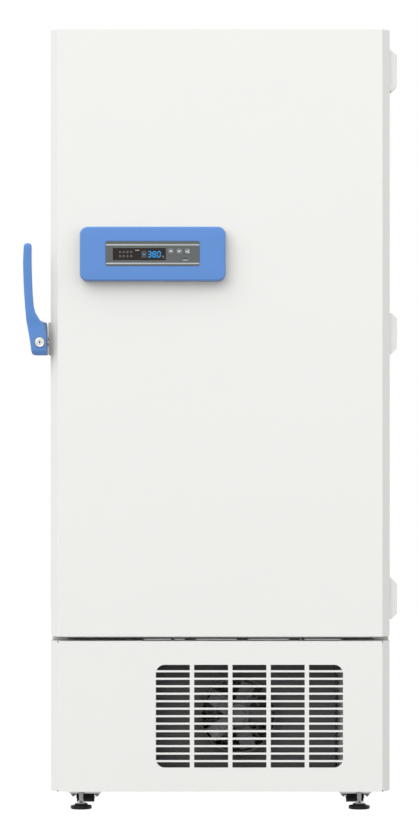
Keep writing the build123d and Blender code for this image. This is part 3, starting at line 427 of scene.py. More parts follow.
def settled_dust():
    """Thin dust on faces that look up, broken by noise."""
    tree, given, put = effect(
        "Settled dust",
        [("Colour", "NodeSocketColor", (0.8, 0.8, 0.8, 1.0)),
         ("Dust", "NodeSocketColor", (0.62, 0.60, 0.57, 1.0)),
         ("Amount", "NodeSocketFloat", 0.2)],
        [("Colour", "NodeSocketColor"), ("Mask", "NodeSocketFloat")],
    )
    split = node(tree, "ShaderNodeSeparateXYZ")
    tree.links.new(node(tree, "ShaderNodeNewGeometry").outputs["Normal"], split.inputs[0])
    place = node(tree, "ShaderNodeTexCoord").outputs["Object"]
    up = sums(tree, "POWER", sums(tree, "MAXIMUM", split.outputs["Z"], 0.0), 2.0)
    cloud = noise(tree, place, 28.0, 4.0)
    mask = sums(tree, "MULTIPLY", sums(tree, "MULTIPLY", up, cloud), given.outputs["Amount"], True)
    mixed = blend_colours(tree, mask, given.outputs["Colour"], given.outputs["Dust"])
    tree.links.new(mixed, put.inputs["Colour"])
    tree.links.new(mask, put.inputs["Mask"])
    return tree


def rubbed_edges():
    """Rubbing along edges that hands and floors reach."""
    tree, given, put = effect(
        "Rubbed edges",
        [("Colour", "NodeSocketColor", (0.8, 0.8, 0.8, 1.0)),
         ("Worn", "NodeSocketColor", (0.5, 0.5, 0.5, 1.0)),
         ("Amount", "NodeSocketFloat", 0.2)],
        [("Colour", "NodeSocketColor"), ("Mask", "NodeSocketFloat")],
    )
    spread = node(tree, "ShaderNodeMapRange", in1=0.54, in2=0.66)
    tree.links.new(node(tree, "ShaderNodeNewGeometry").outputs["Pointiness"], spread.inputs[0])
    place = node(tree, "ShaderNodeTexCoord").outputs["Object"]
    broken = sums(tree, "MULTIPLY", spread.outputs[0], noise(tree, place, 260.0, 3.0))
    mask = sums(tree, "MULTIPLY", broken, given.outputs["Amount"], True)
    mixed = blend_colours(tree, mask, given.outputs["Colour"], given.outputs["Worn"])
    tree.links.new(mixed, put.inputs["Colour"])
    tree.links.new(mask, put.inputs["Mask"])
    return tree


def drawn_grain():
    """Fine lines left by rolling, drawing or turning."""
    tree, given, put = effect(
        "Drawn grain",
        [("Stretch", "NodeSocketVector", (1.0, 1.0, 1.0)), ("Roughness", "NodeSocketFloat", 0.3),
         ("Spread", "NodeSocketFloat", 0.15)],
        [("Height", "NodeSocketFloat"), ("Roughness", "NodeSocketFloat")],
    )
    place = node(tree, "ShaderNodeTexCoord").outputs["Object"]
    drawn = node(tree, "ShaderNodeVectorMath", operation="MULTIPLY")
    tree.links.new(place, drawn.inputs[0])
    tree.links.new(given.outputs["Stretch"], drawn.inputs[1])
    lines = noise(tree, drawn.outputs[0], 1.0, 3.0)
    swing = sums(tree, "MULTIPLY", sums(tree, "SUBTRACT", lines, 0.5), given.outputs["Spread"])
    tree.links.new(lines, put.inputs["Height"])
    tree.links.new(sums(tree, "ADD", given.outputs["Roughness"], swing, True), put.inputs["Roughness"])
    return tree


def placed(tree, name, **values):
    """A shared effect inside a material, with its own values."""
    made = tree.nodes.new("ShaderNodeGroup")
    made.node_tree = bpy.data.node_groups[name]
    for key, value in values.items():
        made.inputs[key.replace("_", " ")].default_value = value
    return made


def coated(name, colour, rough, grain, relief, spread=0.08, dust=0.0, worn=None, wear=0.0, coat=0.0,
           gloss=0.5):
    """Painted or moulded finish: grain, slow tone changes, dust and rubbed edges."""
    material = bpy.data.materials.new(name)
    material.use_nodes = True
    tree = material.node_tree
    shader = tree.nodes["Principled BSDF"]
    solid = (*colour, 1.0)
    surface = placed(tree, "Sprayed grain", Colour=solid, Grain=grain, Roughness=rough, Spread=spread)
    out = surface.outputs["Colour"]
    if wear:
        edges = placed(tree, "Rubbed edges", Worn=(*worn, 1.0), Amount=wear)
        tree.links.new(out, edges.inputs["Colour"])
        out = edges.outputs["Colour"]
    if dust:
        film = placed(tree, "Settled dust", Amount=dust)
        tree.links.new(out, film.inputs["Colour"])
        out = film.outputs["Colour"]
    tree.links.new(out, shader.inputs["Base Color"])
    tree.links.new(surface.outputs["Roughness"], shader.inputs["Roughness"])
    bump = node(tree, "ShaderNodeBump")
    bump.inputs["Distance"].default_value = relief / 1000
    bump.inputs["Strength"].default_value = 0.6
    tree.links.new(surface.outputs["Height"], bump.inputs["Height"])
    tree.links.new(bump.outputs[0], shader.inputs["Normal"])
    shader.inputs["Coat Weight"].default_value = coat
    shader.inputs["Coat Roughness"].default_value = 0.12
    shader.inputs["Specular IOR Level"].default_value = gloss
    return material


def quiet_bounce(name):
    """Lets a strong colour throw only a dim grey light on its neighbours."""
    tree = bpy.data.materials[name].node_tree
    shader = tree.nodes["Principled BSDF"]
    tint = shader.inputs["Base Color"].links[0].from_socket
    rays = node(tree, "ShaderNodeLightPath")
    out = blend_colours(tree, rays.outputs["Is Diffuse Ray"], tint, (0.16, 0.17, 0.18, 1.0))
    tree.links.new(out, shader.inputs["Base Color"])


def metal(name, colour, rough, stretch, relief=0.02, dust=0.0, shine=1.0):
    """Bare metal with drawn lines and a little dust."""
    material = bpy.data.materials.new(name)
    material.use_nodes = True
    tree = material.node_tree
    shader = tree.nodes["Principled BSDF"]
    lines = placed(tree, "Drawn grain", Stretch=stretch, Roughness=rough, Spread=0.18)
    tone = placed(tree, "Sprayed grain", Colour=(*colour, 1.0), Grain=6.0, Roughness=rough, Spread=0.2)
    out = tone.outputs["Colour"]
    if dust:
        film = placed(tree, "Settled dust", Amount=dust)
        tree.links.new(out, film.inputs["Colour"])
        out = film.outputs["Colour"]
    tree.links.new(out, shader.inputs["Base Color"])
    tree.links.new(lines.outputs["Roughness"], shader.inputs["Roughness"])
    bump = node(tree, "ShaderNodeBump")
    bump.inputs["Distance"].default_value = relief / 1000
    bump.inputs["Strength"].default_value = 0.5
    tree.links.new(lines.outputs["Height"], bump.inputs["Height"])
    tree.links.new(bump.outputs[0], shader.inputs["Normal"])
    shader.inputs["Metallic"].default_value = shine
    return material


def lit(name, colour, glow):
    """Lit mark behind the display window, a little uneven."""
    material = coated(name, colour, 0.4, 1.0, 0.01)
    tree = material.node_tree
    shader = tree.nodes["Principled BSDF"]
    surface = placed(tree, "Sprayed grain", Colour=(*colour, 1.0), Grain=2.0, Roughness=0.4, Spread=0.3)
    tree.links.new(surface.outputs["Colour"], shader.inputs["Emission Color"])
    shader.inputs["Emission Strength"].default_value = glow
    return material


FINISH_OF_NODE = {
    "Powder coat": ["left_side_panel", "right_side_panel", "top_panel", "rear_panel", "front_grille_panel",
                    "machine_rear_cover", "door_skin", "hinge_cabinet_leaves", "hinge_door_leaves"],
    "Liner paint": ["inner_liner", "shelf_lower", "shelf_middle", "shelf_upper", "electrical_box"],
    "Zinc sheet": ["machine_ceiling", "base_tray", "base_rails", "shelf_strips", "caster_housings"],
    "Turned steel": ["latch_hook", "latch_keeper", "hinge_pins", "handle_pivot"],
    "Rigid foam": ["cabinet_foam", "door_foam"],
    "Moulded white": ["breaker_frame", "door_liner"],
    "Mount plate": ["handle_mount"],
    "Seal grey": ["door_gasket", "compressor_mounts"],
    "Copper tube": ["evaporator_coil", "refrigerant_lines"],
    "Fan plastic": ["fan_shroud"],
    "Rotor plastic": ["fan_rotor", "fan_motor"],
    "Fin metal": ["condenser_core"],
    "Black moulding": ["power_inlet"],
    "Roller rubber": ["caster_wheel_" + c for c in CORNERS] + ["levelling_foot_" + c for c in CORNERS],
    "Black enamel": ["compressor"],
    "Bright steel": ["temperature_probe"],
    "Fascia film": ["controller_bezel"],
    "Key film": ["key_up", "key_down", "key_confirm"],
    "Smoked window": ["display_window"],
    "Circuit board": ["display_board"],
    "Blue plastic": ["controller_housing", "handle_lever"],
    "Satin chrome": ["lock_barrel", "lock_plug"],
}


class FREEZER_OT_finishes(bpy.types.Operator):
    """Build the finishes and lay them on every piece of the frame"""

    bl_idname = "freezer.finishes"
    bl_label = "Lay the finishes"

    def execute(self, context):
        tones = context.scene.freezer_finishes
        sprayed_grain()
        settled_dust()
        rubbed_edges()
        drawn_grain()
        coated("Powder coat", tones.paint, 0.42, 1.3, 0.05, 0.05, 0.10)
        coated("Liner paint", tones.liner, 0.38, 1.6, 0.04, 0.06)
        metal("Zinc sheet", (0.52, 0.53, 0.54), 0.42, (900.0, 40.0, 900.0), 0.02, 0.5)
        metal("Turned steel", (0.60, 0.60, 0.61), 0.30, (300.0, 300.0, 2500.0))
        coated("Rigid foam", (0.78, 0.68, 0.42), 0.85, 2.5, 0.6, 0.2)
        coated("Moulded white", (0.84, 0.84, 0.82), 0.45, 0.7, 0.03)
        coated("Mount plate", (0.60, 0.60, 0.57), 0.40, 0.9, 0.03, 0.08)
        coated("Seal grey", (0.55, 0.56, 0.57), 0.62, 0.8, 0.04, 0.1)
        metal("Copper tube", (0.72, 0.40, 0.26), 0.34, (200.0, 1500.0, 200.0), 0.02, 0.4)
        coated("Fan plastic", tones.machinery, 0.55, 0.8, 0.03, 0.1, 0.25)
        coated("Rotor plastic", tuple(t * 2.2 for t in tones.machinery), 0.5, 0.8, 0.03, 0.1, 0.2)
        metal("Fin metal", (0.20, 0.20, 0.205), 0.5, (700.0, 60.0, 60.0), 0.03, 0.5, 0.6)
        coated("Black moulding", (0.018, 0.018, 0.018), 0.5, 0.7, 0.04, 0.1, 0.2)
        coated("Roller rubber", tones.rubber, 0.55, 0.9, 0.05, 0.15, 0.03, (0.04, 0.04, 0.04), 0.3,
               gloss=0.12)
        coated("Pad plastic", tones.rubber, 0.30, 0.9, 0.03, 0.15, 0.0, (0.03, 0.03, 0.03), 0.2, gloss=0.22)
        coated("Black enamel", (0.012, 0.012, 0.013), 0.25, 2.0, 0.03, 0.1, 0.4, coat=0.5)
        metal("Bright steel", (0.66, 0.66, 0.67), 0.2, (200.0, 1500.0, 1500.0))
        coated("Fascia film", tones.fascia, 0.36, 0.5, 0.01, 0.05)
        coated("Key film", tuple(t * 0.86 for t in tones.fascia), 0.34, 0.5, 0.01, 0.05)
        coated("Smoked window", tones.window, 0.12, 3.0, 0.004, 0.04, gloss=0.12)
        coated("Circuit board", (0.02, 0.16, 0.07), 0.4, 0.8, 0.05, 0.2)
        coated("Blue plastic", tones.blue, 0.30, 1.1, 0.015, 0.05, 0.0, (0.35, 0.50, 0.80), 0.2)
        quiet_bounce("Blue plastic")
        metal("Satin chrome", (0.74, 0.74, 0.73), 0.24, (900.0, 900.0, 900.0), 0.01)
        metal("Silver trim", (0.50, 0.51, 0.51), 0.38, (40.0, 900.0, 900.0), 0.01, shine=0.4)
        # Near-black that stands in for the shade inside holes: painted shade for the keyhole, the port's
        # mouth and the bend reliefs.
        coated("Dark recess", (0.010, 0.010, 0.010), 0.8, 1.2, 0.05)
        coated("White print", (0.80, 0.81, 0.80), 0.4, 0.5, 0.01)
        coated("Grey print", (0.26, 0.27, 0.27), 0.4, 0.5, 0.01)
        coated("Key outline", (0.46, 0.48, 0.48), 0.4, 0.5, 0.01)
        # Dark ring colour that stands in for the shadow in the gap round the lock: painted shade.
        coated("Lock seat", (0.16, 0.15, 0.135), 0.5, 0.6, 0.02)
        metal("Dark steel", (0.15, 0.15, 0.155), 0.42, (300.0, 300.0, 300.0))
        coated("Lamp off", (0.135, 0.130, 0.125), 0.35, 0.6, 0.01, gloss=0.2)
        lit("Lit figure", tones.figures, 0.25)
        coated("Sign plate", (0.080, 0.082, 0.084), 0.35, 0.6, 0.01, gloss=0.2)
        coated("Unlit figure", (0.062, 0.056, 0.054), 0.3, 0.6, 0.01, gloss=0.12)
        for finish, names in FINISH_OF_NODE.items():
            for name in names:
                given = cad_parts[name]
                if not given.material_slots:
                    given.data.materials.append(bpy.data.materials[finish])
                for place in given.material_slots:
                    place.material = bpy.data.materials[finish]
        return {"FINISHED"}


class FREEZER_OT_stage(bpy.types.Operator):
    """Set up the floor, the light and the camera"""

    bl_idname = "freezer.stage"
    bl_label = "Set the stage"

    def execute(self, context):
        values = context.scene.freezer_view
        bm = bmesh.new()
        bm.faces.new([bm.verts.new((x, y, 0.0)) for x, y in FLOOR_CORNERS])
        mesh = bpy.data.meshes.new("floor")
        bm.to_mesh(mesh)
        bm.free()
        floor = bpy.data.objects.new("floor", mesh)
        context.scene.collection.objects.link(floor)
        paper = bpy.data.materials.new("Paper floor")
        paper.use_nodes = True
        tree = paper.node_tree
        shader = tree.nodes["Principled BSDF"]
        solid = (*values.floor, 1.0)
        tint = placed(tree, "Sprayed grain", Colour=solid, Grain=40.0, Roughness=0.9, Spread=0.02)
        tree.links.new(tint.outputs["Colour"], shader.inputs["Base Color"])
        shader.inputs["Roughness"].default_value = 0.9
        shader.inputs["Specular IOR Level"].default_value = 0.1
        rays = node(tree, "ShaderNodeLightPath")
        seen = sums(tree, "MAXIMUM", rays.outputs["Is Camera Ray"], rays.outputs["Is Glossy Ray"])
        seen = sums(tree, "MAXIMUM", seen, rays.outputs["Is Transmission Ray"])
        shader.inputs["Emission Color"].default_value = (1.0, 1.0, 1.0, 1.0)
        tree.links.new(sums(tree, "MULTIPLY", seen, values.floor_glow), shader.inputs["Emission Strength"])
        mesh.materials.append(paper)
        self.set_world(context, values)
        sun = bpy.data.lights.new("key", "SUN")
        sun.energy = values.key
        sun.angle = radians(LAMP_SPREAD)
        lamp = bpy.data.objects.new("key", sun)
        lamp.rotation_euler = Vector(LAMP_FROM).to_track_quat("Z", "Y").to_euler()
        context.scene.collection.objects.link(lamp)
        self.set_camera(context, values)
        context.scene.view_settings.view_transform = "Standard"
        return {"FINISHED"}

    def set_world(self, context, values):
        world = context.scene.world or bpy.data.worlds.new("studio")
        context.scene.world = world
        world.use_nodes = True
        tree = world.node_tree
        tree.nodes.clear()
        out = node(tree, "ShaderNodeOutputWorld")
        glow = node(tree, "ShaderNodeBackground")
        glow.inputs["Color"].default_value = (1.0, 1.0, 1.0, 1.0)
        rays = node(tree, "ShaderNodeLightPath")
        seen = sums(tree, "MAXIMUM", rays.outputs["Is Camera Ray"], rays.outputs["Is Glossy Ray"])
        seen = sums(tree, "MAXIMUM", seen, rays.outputs["Is Transmission Ray"])
        lean = node(tree, "ShaderNodeVectorMath", operation="DOT_PRODUCT")
        tree.links.new(node(tree, "ShaderNodeTexCoord").outputs["Generated"], lean.inputs[0])
        lean.inputs[1].default_value = Vector(BRIGHT_SKY).normalized()
        slope = sums(tree, "MULTIPLY", lean.outputs["Value"], values.slope)
        even = sums(tree, "MAXIMUM", sums(tree, "ADD", slope, values.daylight), 0.0)
        unseen = sums(tree, "MULTIPLY", sums(tree, "SUBTRACT", 1.0, seen), even)
        tree.links.new(sums(tree, "ADD", seen, unseen), glow.inputs["Strength"])
        tree.links.new(glow.outputs[0], out.inputs[0])

    def set_camera(self, context, values):
        lens = bpy.data.cameras.new("camera")
        lens.lens = values.lens
        lens.sensor_width = 36.0
        lens.shift_x, lens.shift_y = PICTURE_SHIFT
        lens.clip_end = 100.0
        camera = bpy.data.objects.new("camera", lens)
        camera.location = at(0.0, FRONT, 0.0) + Vector((0.0, -values.distance, values.eye))
        camera.rotation_euler = (pi / 2, 0.0, 0.0)
        context.scene.collection.objects.link(camera)
        context.scene.camera = camera


class FREEZER_OT_lever(bpy.types.Operator):
    """Build the moulded lever with its rounded grip and lock block"""

    bl_idname = "freezer.lever"
    bl_label = "Build the lever"

    def execute(self, context):
        edge = context.scene.freezer_sizes.lever_round * 1000
        rings = []
        for z, left, right, rear_right, front, rear in LEVER_SECTIONS:
            corners = [(left, front), (right, front), (rear_right, rear), (left, rear)]
            outline = softened(corners, [edge, edge, edge, edge])
            rings.append([at(p.x, p.y, z) for p in outline])
        bm = bmesh.new()
        skin(bm, rings)
        lever = piece("lever", bm, "handle", "Blue plastic")
        lock_low, lock_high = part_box("lock_barrel")
        middle = (lock_low + lock_high) / 2
        radius = (lock_high.x - lock_low.x) / 2 + 0.0001
        bore = bmesh.new()
        bore_reach = 0.03
        start = Vector((middle.x, lock_low.y - bore_reach, middle.z))
        turned(bore, start, (0, 1, 0), [(radius, 0.0), (radius, lock_high.y - start.y + 0.0003)], 48)
        cut(lever, bore)
        low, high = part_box("handle_pivot")
        middle = (low + high) / 2
        bore = bmesh.new()
        radius = (high.z - low.z) / 2 + 0.0001
        turned(bore, Vector((high.x, middle.y, middle.z)), (-1, 0, 0),
               [(radius, 0.0), (radius, high.x - low.x + 0.0001)], 32)
        cut(lever, bore)
        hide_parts("handle_lever")
        return {"FINISHED"}


class FREEZER_OT_lock(bpy.types.Operator):
    """Build the lock's stepped face and its keyhole, with painted shade in the keyhole and in the gap round
    the rim
    """

    bl_idname = "freezer.lock"
    bl_label = "Build the lock face"

    def execute(self, context):
        low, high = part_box("lock_barrel")
        middle = (low + high) / 2
        face = Vector((middle.x, low.y, middle.z))
        bm = bmesh.new()
        profile = [
            (0.0081, 0.0012), (0.0084, -0.0002), (0.0094, -0.0006), (0.0101, -0.0003), (0.0104, 0.0002),
            (0.0107, 0.0002), (0.0110, -0.0008), (0.0118, -0.0010), (0.0122, -0.0003), (0.0124, 0.0010),
        ]
        turned_ring(bm, face, (0, 1, 0), profile)
        piece("lock_rim", bm, "handle", "Satin chrome")
        bm = bmesh.new()
        # A dark ring just outside the rim: painted shade in the gap where the lock sits in the block.
        gap_shade_profile = [(0.0123, 0.0012), (0.0123, -0.0004), (0.0127, -0.0006), (0.0131, -0.0003), (0.0131, 0.0012)]
        turned_ring(bm, face, (0, 1, 0), gap_shade_profile)
        piece("lock_gap_shade", bm, "handle", "Lock seat")
        bm = bmesh.new()
        # The keyhole is a thin near-black plate in front of the plug: painted shade in the key slot.
        slot = [(-1.5, -2.9), (-0.6, -2.9), (2.3, -0.5), (2.3, 0.5), (-0.6, 2.9), (-1.5, 2.9)]
        x, y, z = layout(face)
        front_plate(bm, slot, x, z, y + 0.6, y - 0.15)
        piece("lock_keyhole_shade", bm, "lock", "Dark recess")
        bm = bmesh.new()
        front_line(bm, rounded_outline(6.4, 8.6, 2.6, 6), 0.5, x + 0.4, z, y + 0.3, y - 0.22, closed=True)
        piece("lock_key_guide", bm, "lock", "Satin chrome")
        return {"FINISHED"}


class FREEZER_OT_housing(bpy.types.Operator):
    """Build the controller's moulded housing"""

    bl_idname = "freezer.housing"
    bl_label = "Build the controller housing"

    def execute(self, context):
        edge = context.scene.freezer_sizes.housing_round * 1000
        low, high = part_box("controller_housing")
        x0, y0, z0 = layout(low)
        x1, y1, z1 = layout(high)
        bezel_low, bezel_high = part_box("controller_bezel")
        bx0, by0, bz0 = layout(bezel_low)
        bx1, by1, bz1 = layout(bezel_high)
        cx, cz = (x0 + x1) / 2, (z0 + z1) / 2
        width, height = x1 - x0, z1 - z0
        lean = 0.055
        rounds = 20.0
        rings = []

        def ring(inset, y, radius, across=None, up=None):
            size = (across or width - 2 * inset, up or height - 2 * inset)
            rings.append([at(cx + u, y, cz + v) for u, v in rounded_outline(*size, radius, 8)])

        deep = y1 - y0
        ring(0.0, y1, rounds)
        ring((deep - edge) * lean, y0 + edge, rounds - 1.0)
        for step in range(1, 6):
            angle = pi / 2 * step / 5
            inset = (deep - edge) * lean + edge * (1 - cos(angle))
            ring(inset, y0 + edge * (1 - sin(angle)), rounds - 1.0 - edge * (1 - cos(angle)) * 0.8)
        ring(0.0, y0, 6.2, bx1 - bx0 + 2.2, bz1 - bz0 + 2.2)
        ring(0.0, y0 + 0.7, 5.2, bx1 - bx0 + 0.3, bz1 - bz0 + 0.3)
        ring(0.0, by1 + 0.02, 5.2, bx1 - bx0 + 0.3, bz1 - bz0 + 0.3)
        ring(0.0, by1 + 0.02, 3.0, bx1 - bx0 - 10.0, bz1 - bz0 - 10.0)
        ring(0.0, by1 + 2.2, 3.0, bx1 - bx0 - 10.0, bz1 - bz0 - 10.0)
        ring(6.0, by1 + 2.2, 14.0)
        ring(3.0, y1, 17.0)
        bm = bmesh.new()
        skin(bm, rings, closed=True)
        shell = piece("controller_shell", bm, "door", "Blue plastic", 28.0)
        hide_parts("controller_housing")
        return {"FINISHED"}


SEGMENTS = {
    "a": ((0, 2), (1, 2)), "b": ((1, 2), (1, 1)), "c": ((1, 1), (1, 0)), "d": ((0, 0), (1, 0)),
    "e": ((0, 1), (0, 0)), "f": ((0, 2), (0, 1)), "g": ((0, 1), (1, 1)),
}
FIGURES = {"3": "abcdg", "8": "abcdefg", "0": "abcdef"}


class FREEZER_OT_display(bpy.types.Operator):
    """Build the fascia's trim, lamps, figures, key marks and port"""

    bl_idname = "freezer.display"
    bl_label = "Build the display"

    def execute(self, context):
        face = layout(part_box("controller_bezel")[0])[1]
        low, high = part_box("controller_bezel")
        x0, _, z0 = layout(low)
        x1, _, z1 = layout(high)
        self.trims(x0, x1, face)
        self.window_marks(context, face)
        self.key_marks(face)
        return {"FINISHED"}

    def trims(self, x0, x1, face):
        bm = bmesh.new()
        for z in TRIM_ROWS:
            bar(bm, at(x0 + 0.6, face - 0.45, z - 1.7), at(x1 - 0.6, face + 0.3, z + 1.7), 0.0002)
        piece("fascia_trims", bm, "door", "Silver trim")
        bm = bmesh.new()
        lip = PORT[1] - PORT_LIP_DROP
        front_plate(bm, rounded_outline(12.6, 1.5, 0.6, 3), PORT[0], lip, face + 0.3, face - 0.20)
        piece("port_rim", bm, "door", "White print")
        bm = bmesh.new()
        # The port's mouth is a thin near-black plate: painted shade inside the opening.
        front_plate(bm, rounded_outline(12.0, 2.6, 0.6, 3), *PORT, face + 0.3, face - 0.08)
        piece("port_mouth_shade", bm, "door", "Dark recess")
        bm = bmesh.new()
        front_line(bm, [(0.0, -2.2), (0.0, 2.2)], 0.7, *PORT_MARK, face + 0.2, face - 0.15)
        front_line(bm, [(-1.4, 0.6), (0.0, -0.8), (1.4, 0.6)], 0.6, *PORT_MARK, face + 0.2, face - 0.15)
        piece("port_mark", bm, "door", "Grey print")

    def window_marks(self, context, face):
        dot = context.scene.freezer_sizes.dot * 1000
        bm = bmesh.new()
        for x in LAMP_COLUMNS:
            for z in LAMP_ROWS:
                front_plate(bm, circle_outline(dot, 24), x, z, face + 0.4, face - 0.12)
        piece("lamps", bm, "door", "Lamp off")
        bm = bmesh.new()
        for x in LAMP_COLUMNS:
            for z in LAMP_ROWS:
                front_line(bm, circle_outline(dot * 0.45, 12), 0.5, x, z, face + 0.3, face - 0.2, closed=True)
        piece("lamp_marks", bm, "door", "Unlit figure")
        lit_bm, dim_bm = bmesh.new(), bmesh.new()
        for figure, x in zip("380", FIGURE_COLUMNS):
            for key, (start, end) in SEGMENTS.items():
                bm = lit_bm if key in FIGURES[figure] else dim_bm
                self.segment(bm, x, FIGURE_ROW, start, end, face)
        front_plate(lit_bm, circle_outline(0.85, 12), *POINT, face + 0.3, face - 0.14)
        front_line(lit_bm, [(-3.1, 0), (3.1, 0)], 2.8, *SIGN, face + 0.3, face - 0.24)
        piece("figures_lit", lit_bm, "door", "Lit figure")
        piece("figures_unlit", dim_bm, "door", "Unlit figure")
        bm = bmesh.new()
        front_line(bm, rounded_outline(11.6, 16.2, 1.0, 3), 1.4, *SIGN, face + 0.3, face - 0.12, closed=True)
        front_plate(bm, rounded_outline(10.4, 15.0, 0.8, 3), *SIGN, face + 0.3, face - 0.06)
        piece("sign_frame", bm, "door", "Sign plate")
        bm = bmesh.new()
        front_plate(bm, rounded_outline(10.5, 1.1, 0.5, 3), *DASH, face + 0.3, face - 0.12)
        piece("window_dash", bm, "door", "White print")
        bm = bmesh.new()
        front_line(bm, circle_outline(0.9, 12), 0.8, *UNIT_RING, face + 0.3, face - 0.12, closed=True)
        arc = [(1.7 * cos(radians(a)), 2.2 * sin(radians(a))) for a in range(50, 320, 20)]
        front_line(bm, arc, 1.0, *UNIT_ARC, face + 0.3, face - 0.12)
        piece("unit_mark", bm, "door", "Grey print")

    def segment(self, bm, x, z, start, end, face):
        width, height, thick, gap = 7.2, 6.9, 2.8, 0.3
        a = Vector(((start[0] - 0.5) * width, (start[1] - 1) * height))
        b = Vector(((end[0] - 0.5) * width, (end[1] - 1) * height))
        run = (b - a).normalized()
        side = Vector((-run.y, run.x)) * thick / 2
        a += run * gap
        b -= run * gap
        inner = thick / 2
        start_in, end_in = a + run * inner, b - run * inner
        outline = [a, start_in + side, end_in + side, b, end_in - side, start_in - side]
        lean = 0.06
        points = [(p.x + p.y * lean, p.y) for p in outline]
        front_plate(bm, points, x, z, face + 0.3, face - 0.14)

    def key_marks(self, face):
        marks = {
            "key_up": [(-3.3, -2.0), (0.0, 1.9), (3.3, -2.0)],
            "key_down": [(-3.3, 2.0), (0.0, -1.9), (3.3, 2.0)],
            "key_confirm": [(-4.2, 0.6), (-1.2, -2.4), (3.9, 3.2)],
        }
        for name, points in marks.items():
            low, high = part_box(name)
            x0, y0, z0 = layout(low)
            x1, _, z1 = layout(high)
            x, z = (x0 + x1) / 2, (z0 + z1) / 2
            bm = bmesh.new()
            front_line(bm, points, 2.3, x, z, y0 + 0.2, y0 - 0.12)
            if name == "key_confirm":
                front_plate(bm, circle_outline(1.7, 12), x + 3.9, z - 3.4, y0 + 0.2, y0 - 0.12)
            piece(name + "_mark", bm, name, "White print")
            bm = bmesh.new()
            half = (x1 - x0) / 2 - 1.2
            outline = rounded_outline(2 * half, 2 * half, 1.6, 4)
            front_line(bm, outline, 0.95, x, z, y0 + 0.2, y0 - 0.10, closed=True)
            piece(name + "_rim", bm, name, "Key outline")


class FREEZER_OT_front_trim(bpy.types.Operator):
    """Build the bend reliefs on the front"""

    bl_idname = "freezer.front_trim"
    bl_label = "Build the front trim"

    def execute(self, context):
        # Each bend relief is a small near-black stud: painted shade in the relief hole.
        bm = bmesh.new()
        profile = [(0.0016, -0.0004), (0.0016, 0.0008), (0.0009, 0.0012)]
        for x in RELIEF_COLUMNS:
            for z in RELIEF_ROWS:
                turned(bm, at(x, FRONT + 0.9, z), (0, -1, 0), profile, 12)
        piece("bend_relief_shade", bm, "cabinet", "Dark recess")
        return {"FINISHED"}


class FREEZER_OT_screws(bpy.types.Operator):
    """Build the screws of the rear panel and its lower cover"""

    bl_idname = "freezer.screws"
    bl_label = "Build the screws"

    def execute(self, context):
        radius = context.scene.freezer_sizes.screw
        head = [(radius, -0.0002), (radius, 0.0006), (radius * 0.88, 0.0014), (radius * 0.6, 0.0019),
                (radius * 0.4, 0.0020), (radius * 0.36, 0.0012), (0.0, 0.0011)]
        inset = 0.012
        bm = bmesh.new()
        for name, rows in (("rear_panel", 6), ("machine_rear_cover", 2)):
            low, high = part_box(name)
            for side in (low.x + inset, high.x - inset):
                for row in range(rows):
                    height = low.z + inset + (high.z - low.z - 2 * inset) * row / (rows - 1)
                    turned(bm, Vector((side, high.y, height)), (0, 1, 0), head, 20)
            for share in (0.25, 0.5, 0.75):
                across = low.x + (high.x - low.x) * share
                for height in (low.z + inset, high.z - inset):
                    turned(bm, Vector((across, high.y, height)), (0, 1, 0), head, 20)
        piece("rear_screws", bm, "cabinet", "Bright steel")
        return {"FINISHED"}


class FREEZER_OT_feet(bpy.types.Operator):
    """Build the levelling feet: stepped pads, bright collars and threaded studs"""

    bl_idname = "freezer.feet"
    bl_label = "Build the feet"

    def execute(self, context):
        pitch = context.scene.freezer_sizes.stud_pitch
        for corner in CORNERS:
            low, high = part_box("levelling_foot_" + corner)
            middle = (low + high) / 2
            base = Vector((middle.x, middle.y, low.z))
            body = "foot_" + corner
            bm = bmesh.new()
            pad = [
                (0.0, 0.0), (0.0245, 0.0), (0.0262, 0.0008), (0.0270, 0.0026), (0.0270, 0.0066),
                (0.0263, 0.0082), (0.0248, 0.0090), (0.0196, 0.0091), (0.0184, 0.0094), (0.0176, 0.0104),
                (0.0168, 0.0122), (0.0158, 0.0130), (0.0130, 0.0132), (0.0, 0.0132),
            ]
            turned(bm, base, (0, 0, 1), pad, 56)
            made = piece("foot_pad_" + corner, bm, body, "Pad plastic")
            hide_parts("levelling_foot_" + corner)
            bm = bmesh.new()
            collar = [
                (0.0146, 0.0130), (0.0150, 0.0138), (0.0142, 0.0146), (0.0092, 0.0152), (0.0070, 0.0205),
                (0.0050, 0.0208), (0.0050, 0.0128),
            ]
            turned_ring(bm, base, (0, 0, 1), collar)
            piece("foot_collar_" + corner, bm, body, "Bright steel")
            bm = bmesh.new()
            self.thread(bm, base, 0.0131, high.z - low.z, pitch)
            piece("foot_stud_" + corner, bm, body, "Turned steel", smooth=50.0)
        return {"FINISHED"}

    def thread(self, bm, base, start, end, pitch):
        steps = 20
        crest, root = 0.00575, 0.0049
        turns = int((end - start) / pitch)
        rings = []
        for index in range(turns * 4 + 1):
            radius = (root, (root + crest) / 2, crest, (root + crest) / 2)[index % 4]
            rings.append([
                base + Vector((radius * cos(2 * pi * i / steps), radius * sin(2 * pi * i / steps),
                               start + index * pitch / 4))
                for i in range(steps)
            ])
        skin(bm, rings)


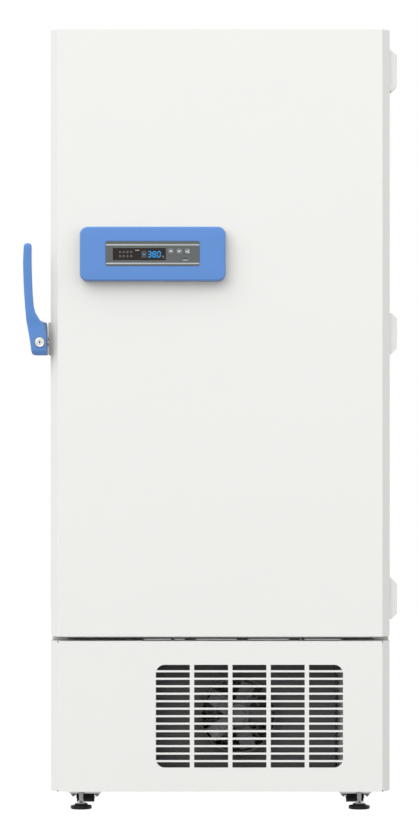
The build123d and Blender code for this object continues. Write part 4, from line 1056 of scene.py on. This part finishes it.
class FREEZER_OT_flange_bolts(bpy.types.Operator):
    """Build the bolts that hold the roller housings under the rails"""

    bl_idname = "freezer.flange_bolts"
    bl_label = "Build the flange bolts"

    def execute(self, context):
        flange = 0.003
        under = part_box("base_rails")[0].z - flange
        washer = [(0.0074, -0.0002), (0.0074, 0.0009), (0.0066, 0.0012), (0.0, 0.0012)]
        nut = [(0.0056, 0.0011), (0.0061, 0.0016), (0.0061, 0.0052), (0.0054, 0.0058), (0.0, 0.0058)]
        end = [(0.0030, 0.0056), (0.0030, 0.0084), (0.0024, 0.0090), (0.0, 0.0090)]
        bm = bmesh.new()
        for corner in CORNERS:
            low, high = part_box("caster_wheel_" + corner)
            middle = (low + high) / 2
            for across in (-0.030, 0.030):
                for along in (-0.036, 0.036):
                    base = Vector((middle.x + across, middle.y + along, under))
                    for profile, steps in ((washer, 20), (nut, 6), (end, 12)):
                        turned(bm, base, (0, 0, -1), profile, steps)
        piece("flange_bolts", bm, "cabinet", "Dark steel")
        return {"FINISHED"}


OPERATORS = (
    FREEZER_OT_finishes, FREEZER_OT_stage, FREEZER_OT_lever, FREEZER_OT_lock, FREEZER_OT_housing,
    FREEZER_OT_display, FREEZER_OT_front_trim, FREEZER_OT_screws, FREEZER_OT_feet,
    FREEZER_OT_flange_bolts,
)


class FREEZER_PT_panel(bpy.types.Panel):
    """Lists the freezer's pieces and values"""

    bl_idname = "FREEZER_PT_panel"
    bl_label = "Laboratory freezer"
    bl_space_type = "VIEW_3D"
    bl_region_type = "UI"
    bl_category = "Freezer"

    def draw(self, context):
        scene = context.scene
        for group in (scene.freezer_finishes, scene.freezer_sizes, scene.freezer_view):
            for name in group.__annotations__:
                self.layout.prop(group, name)
        for operator in OPERATORS:
            self.layout.operator(operator.bl_idname)


GROUPS = {"freezer_finishes": FreezerFinishes, "freezer_sizes": FreezerSizes, "freezer_view": FreezerView}


def register():
    for group in GROUPS.values():
        bpy.utils.register_class(group)
    for operator in OPERATORS:
        bpy.utils.register_class(operator)
    bpy.utils.register_class(FREEZER_PT_panel)
    for name, group in GROUPS.items():
        setattr(bpy.types.Scene, name, bpy.props.PointerProperty(type=group))


def unregister():
    for name in GROUPS:
        delattr(bpy.types.Scene, name)
    for group in (FREEZER_PT_panel, *OPERATORS, *GROUPS.values()):
        bpy.utils.unregister_class(group)


def main():
    register()
    for operator in OPERATORS:
        family, action = operator.bl_idname.split(".")
        getattr(getattr(bpy.ops, family), action)()


if __name__ == "__main__":
    main()
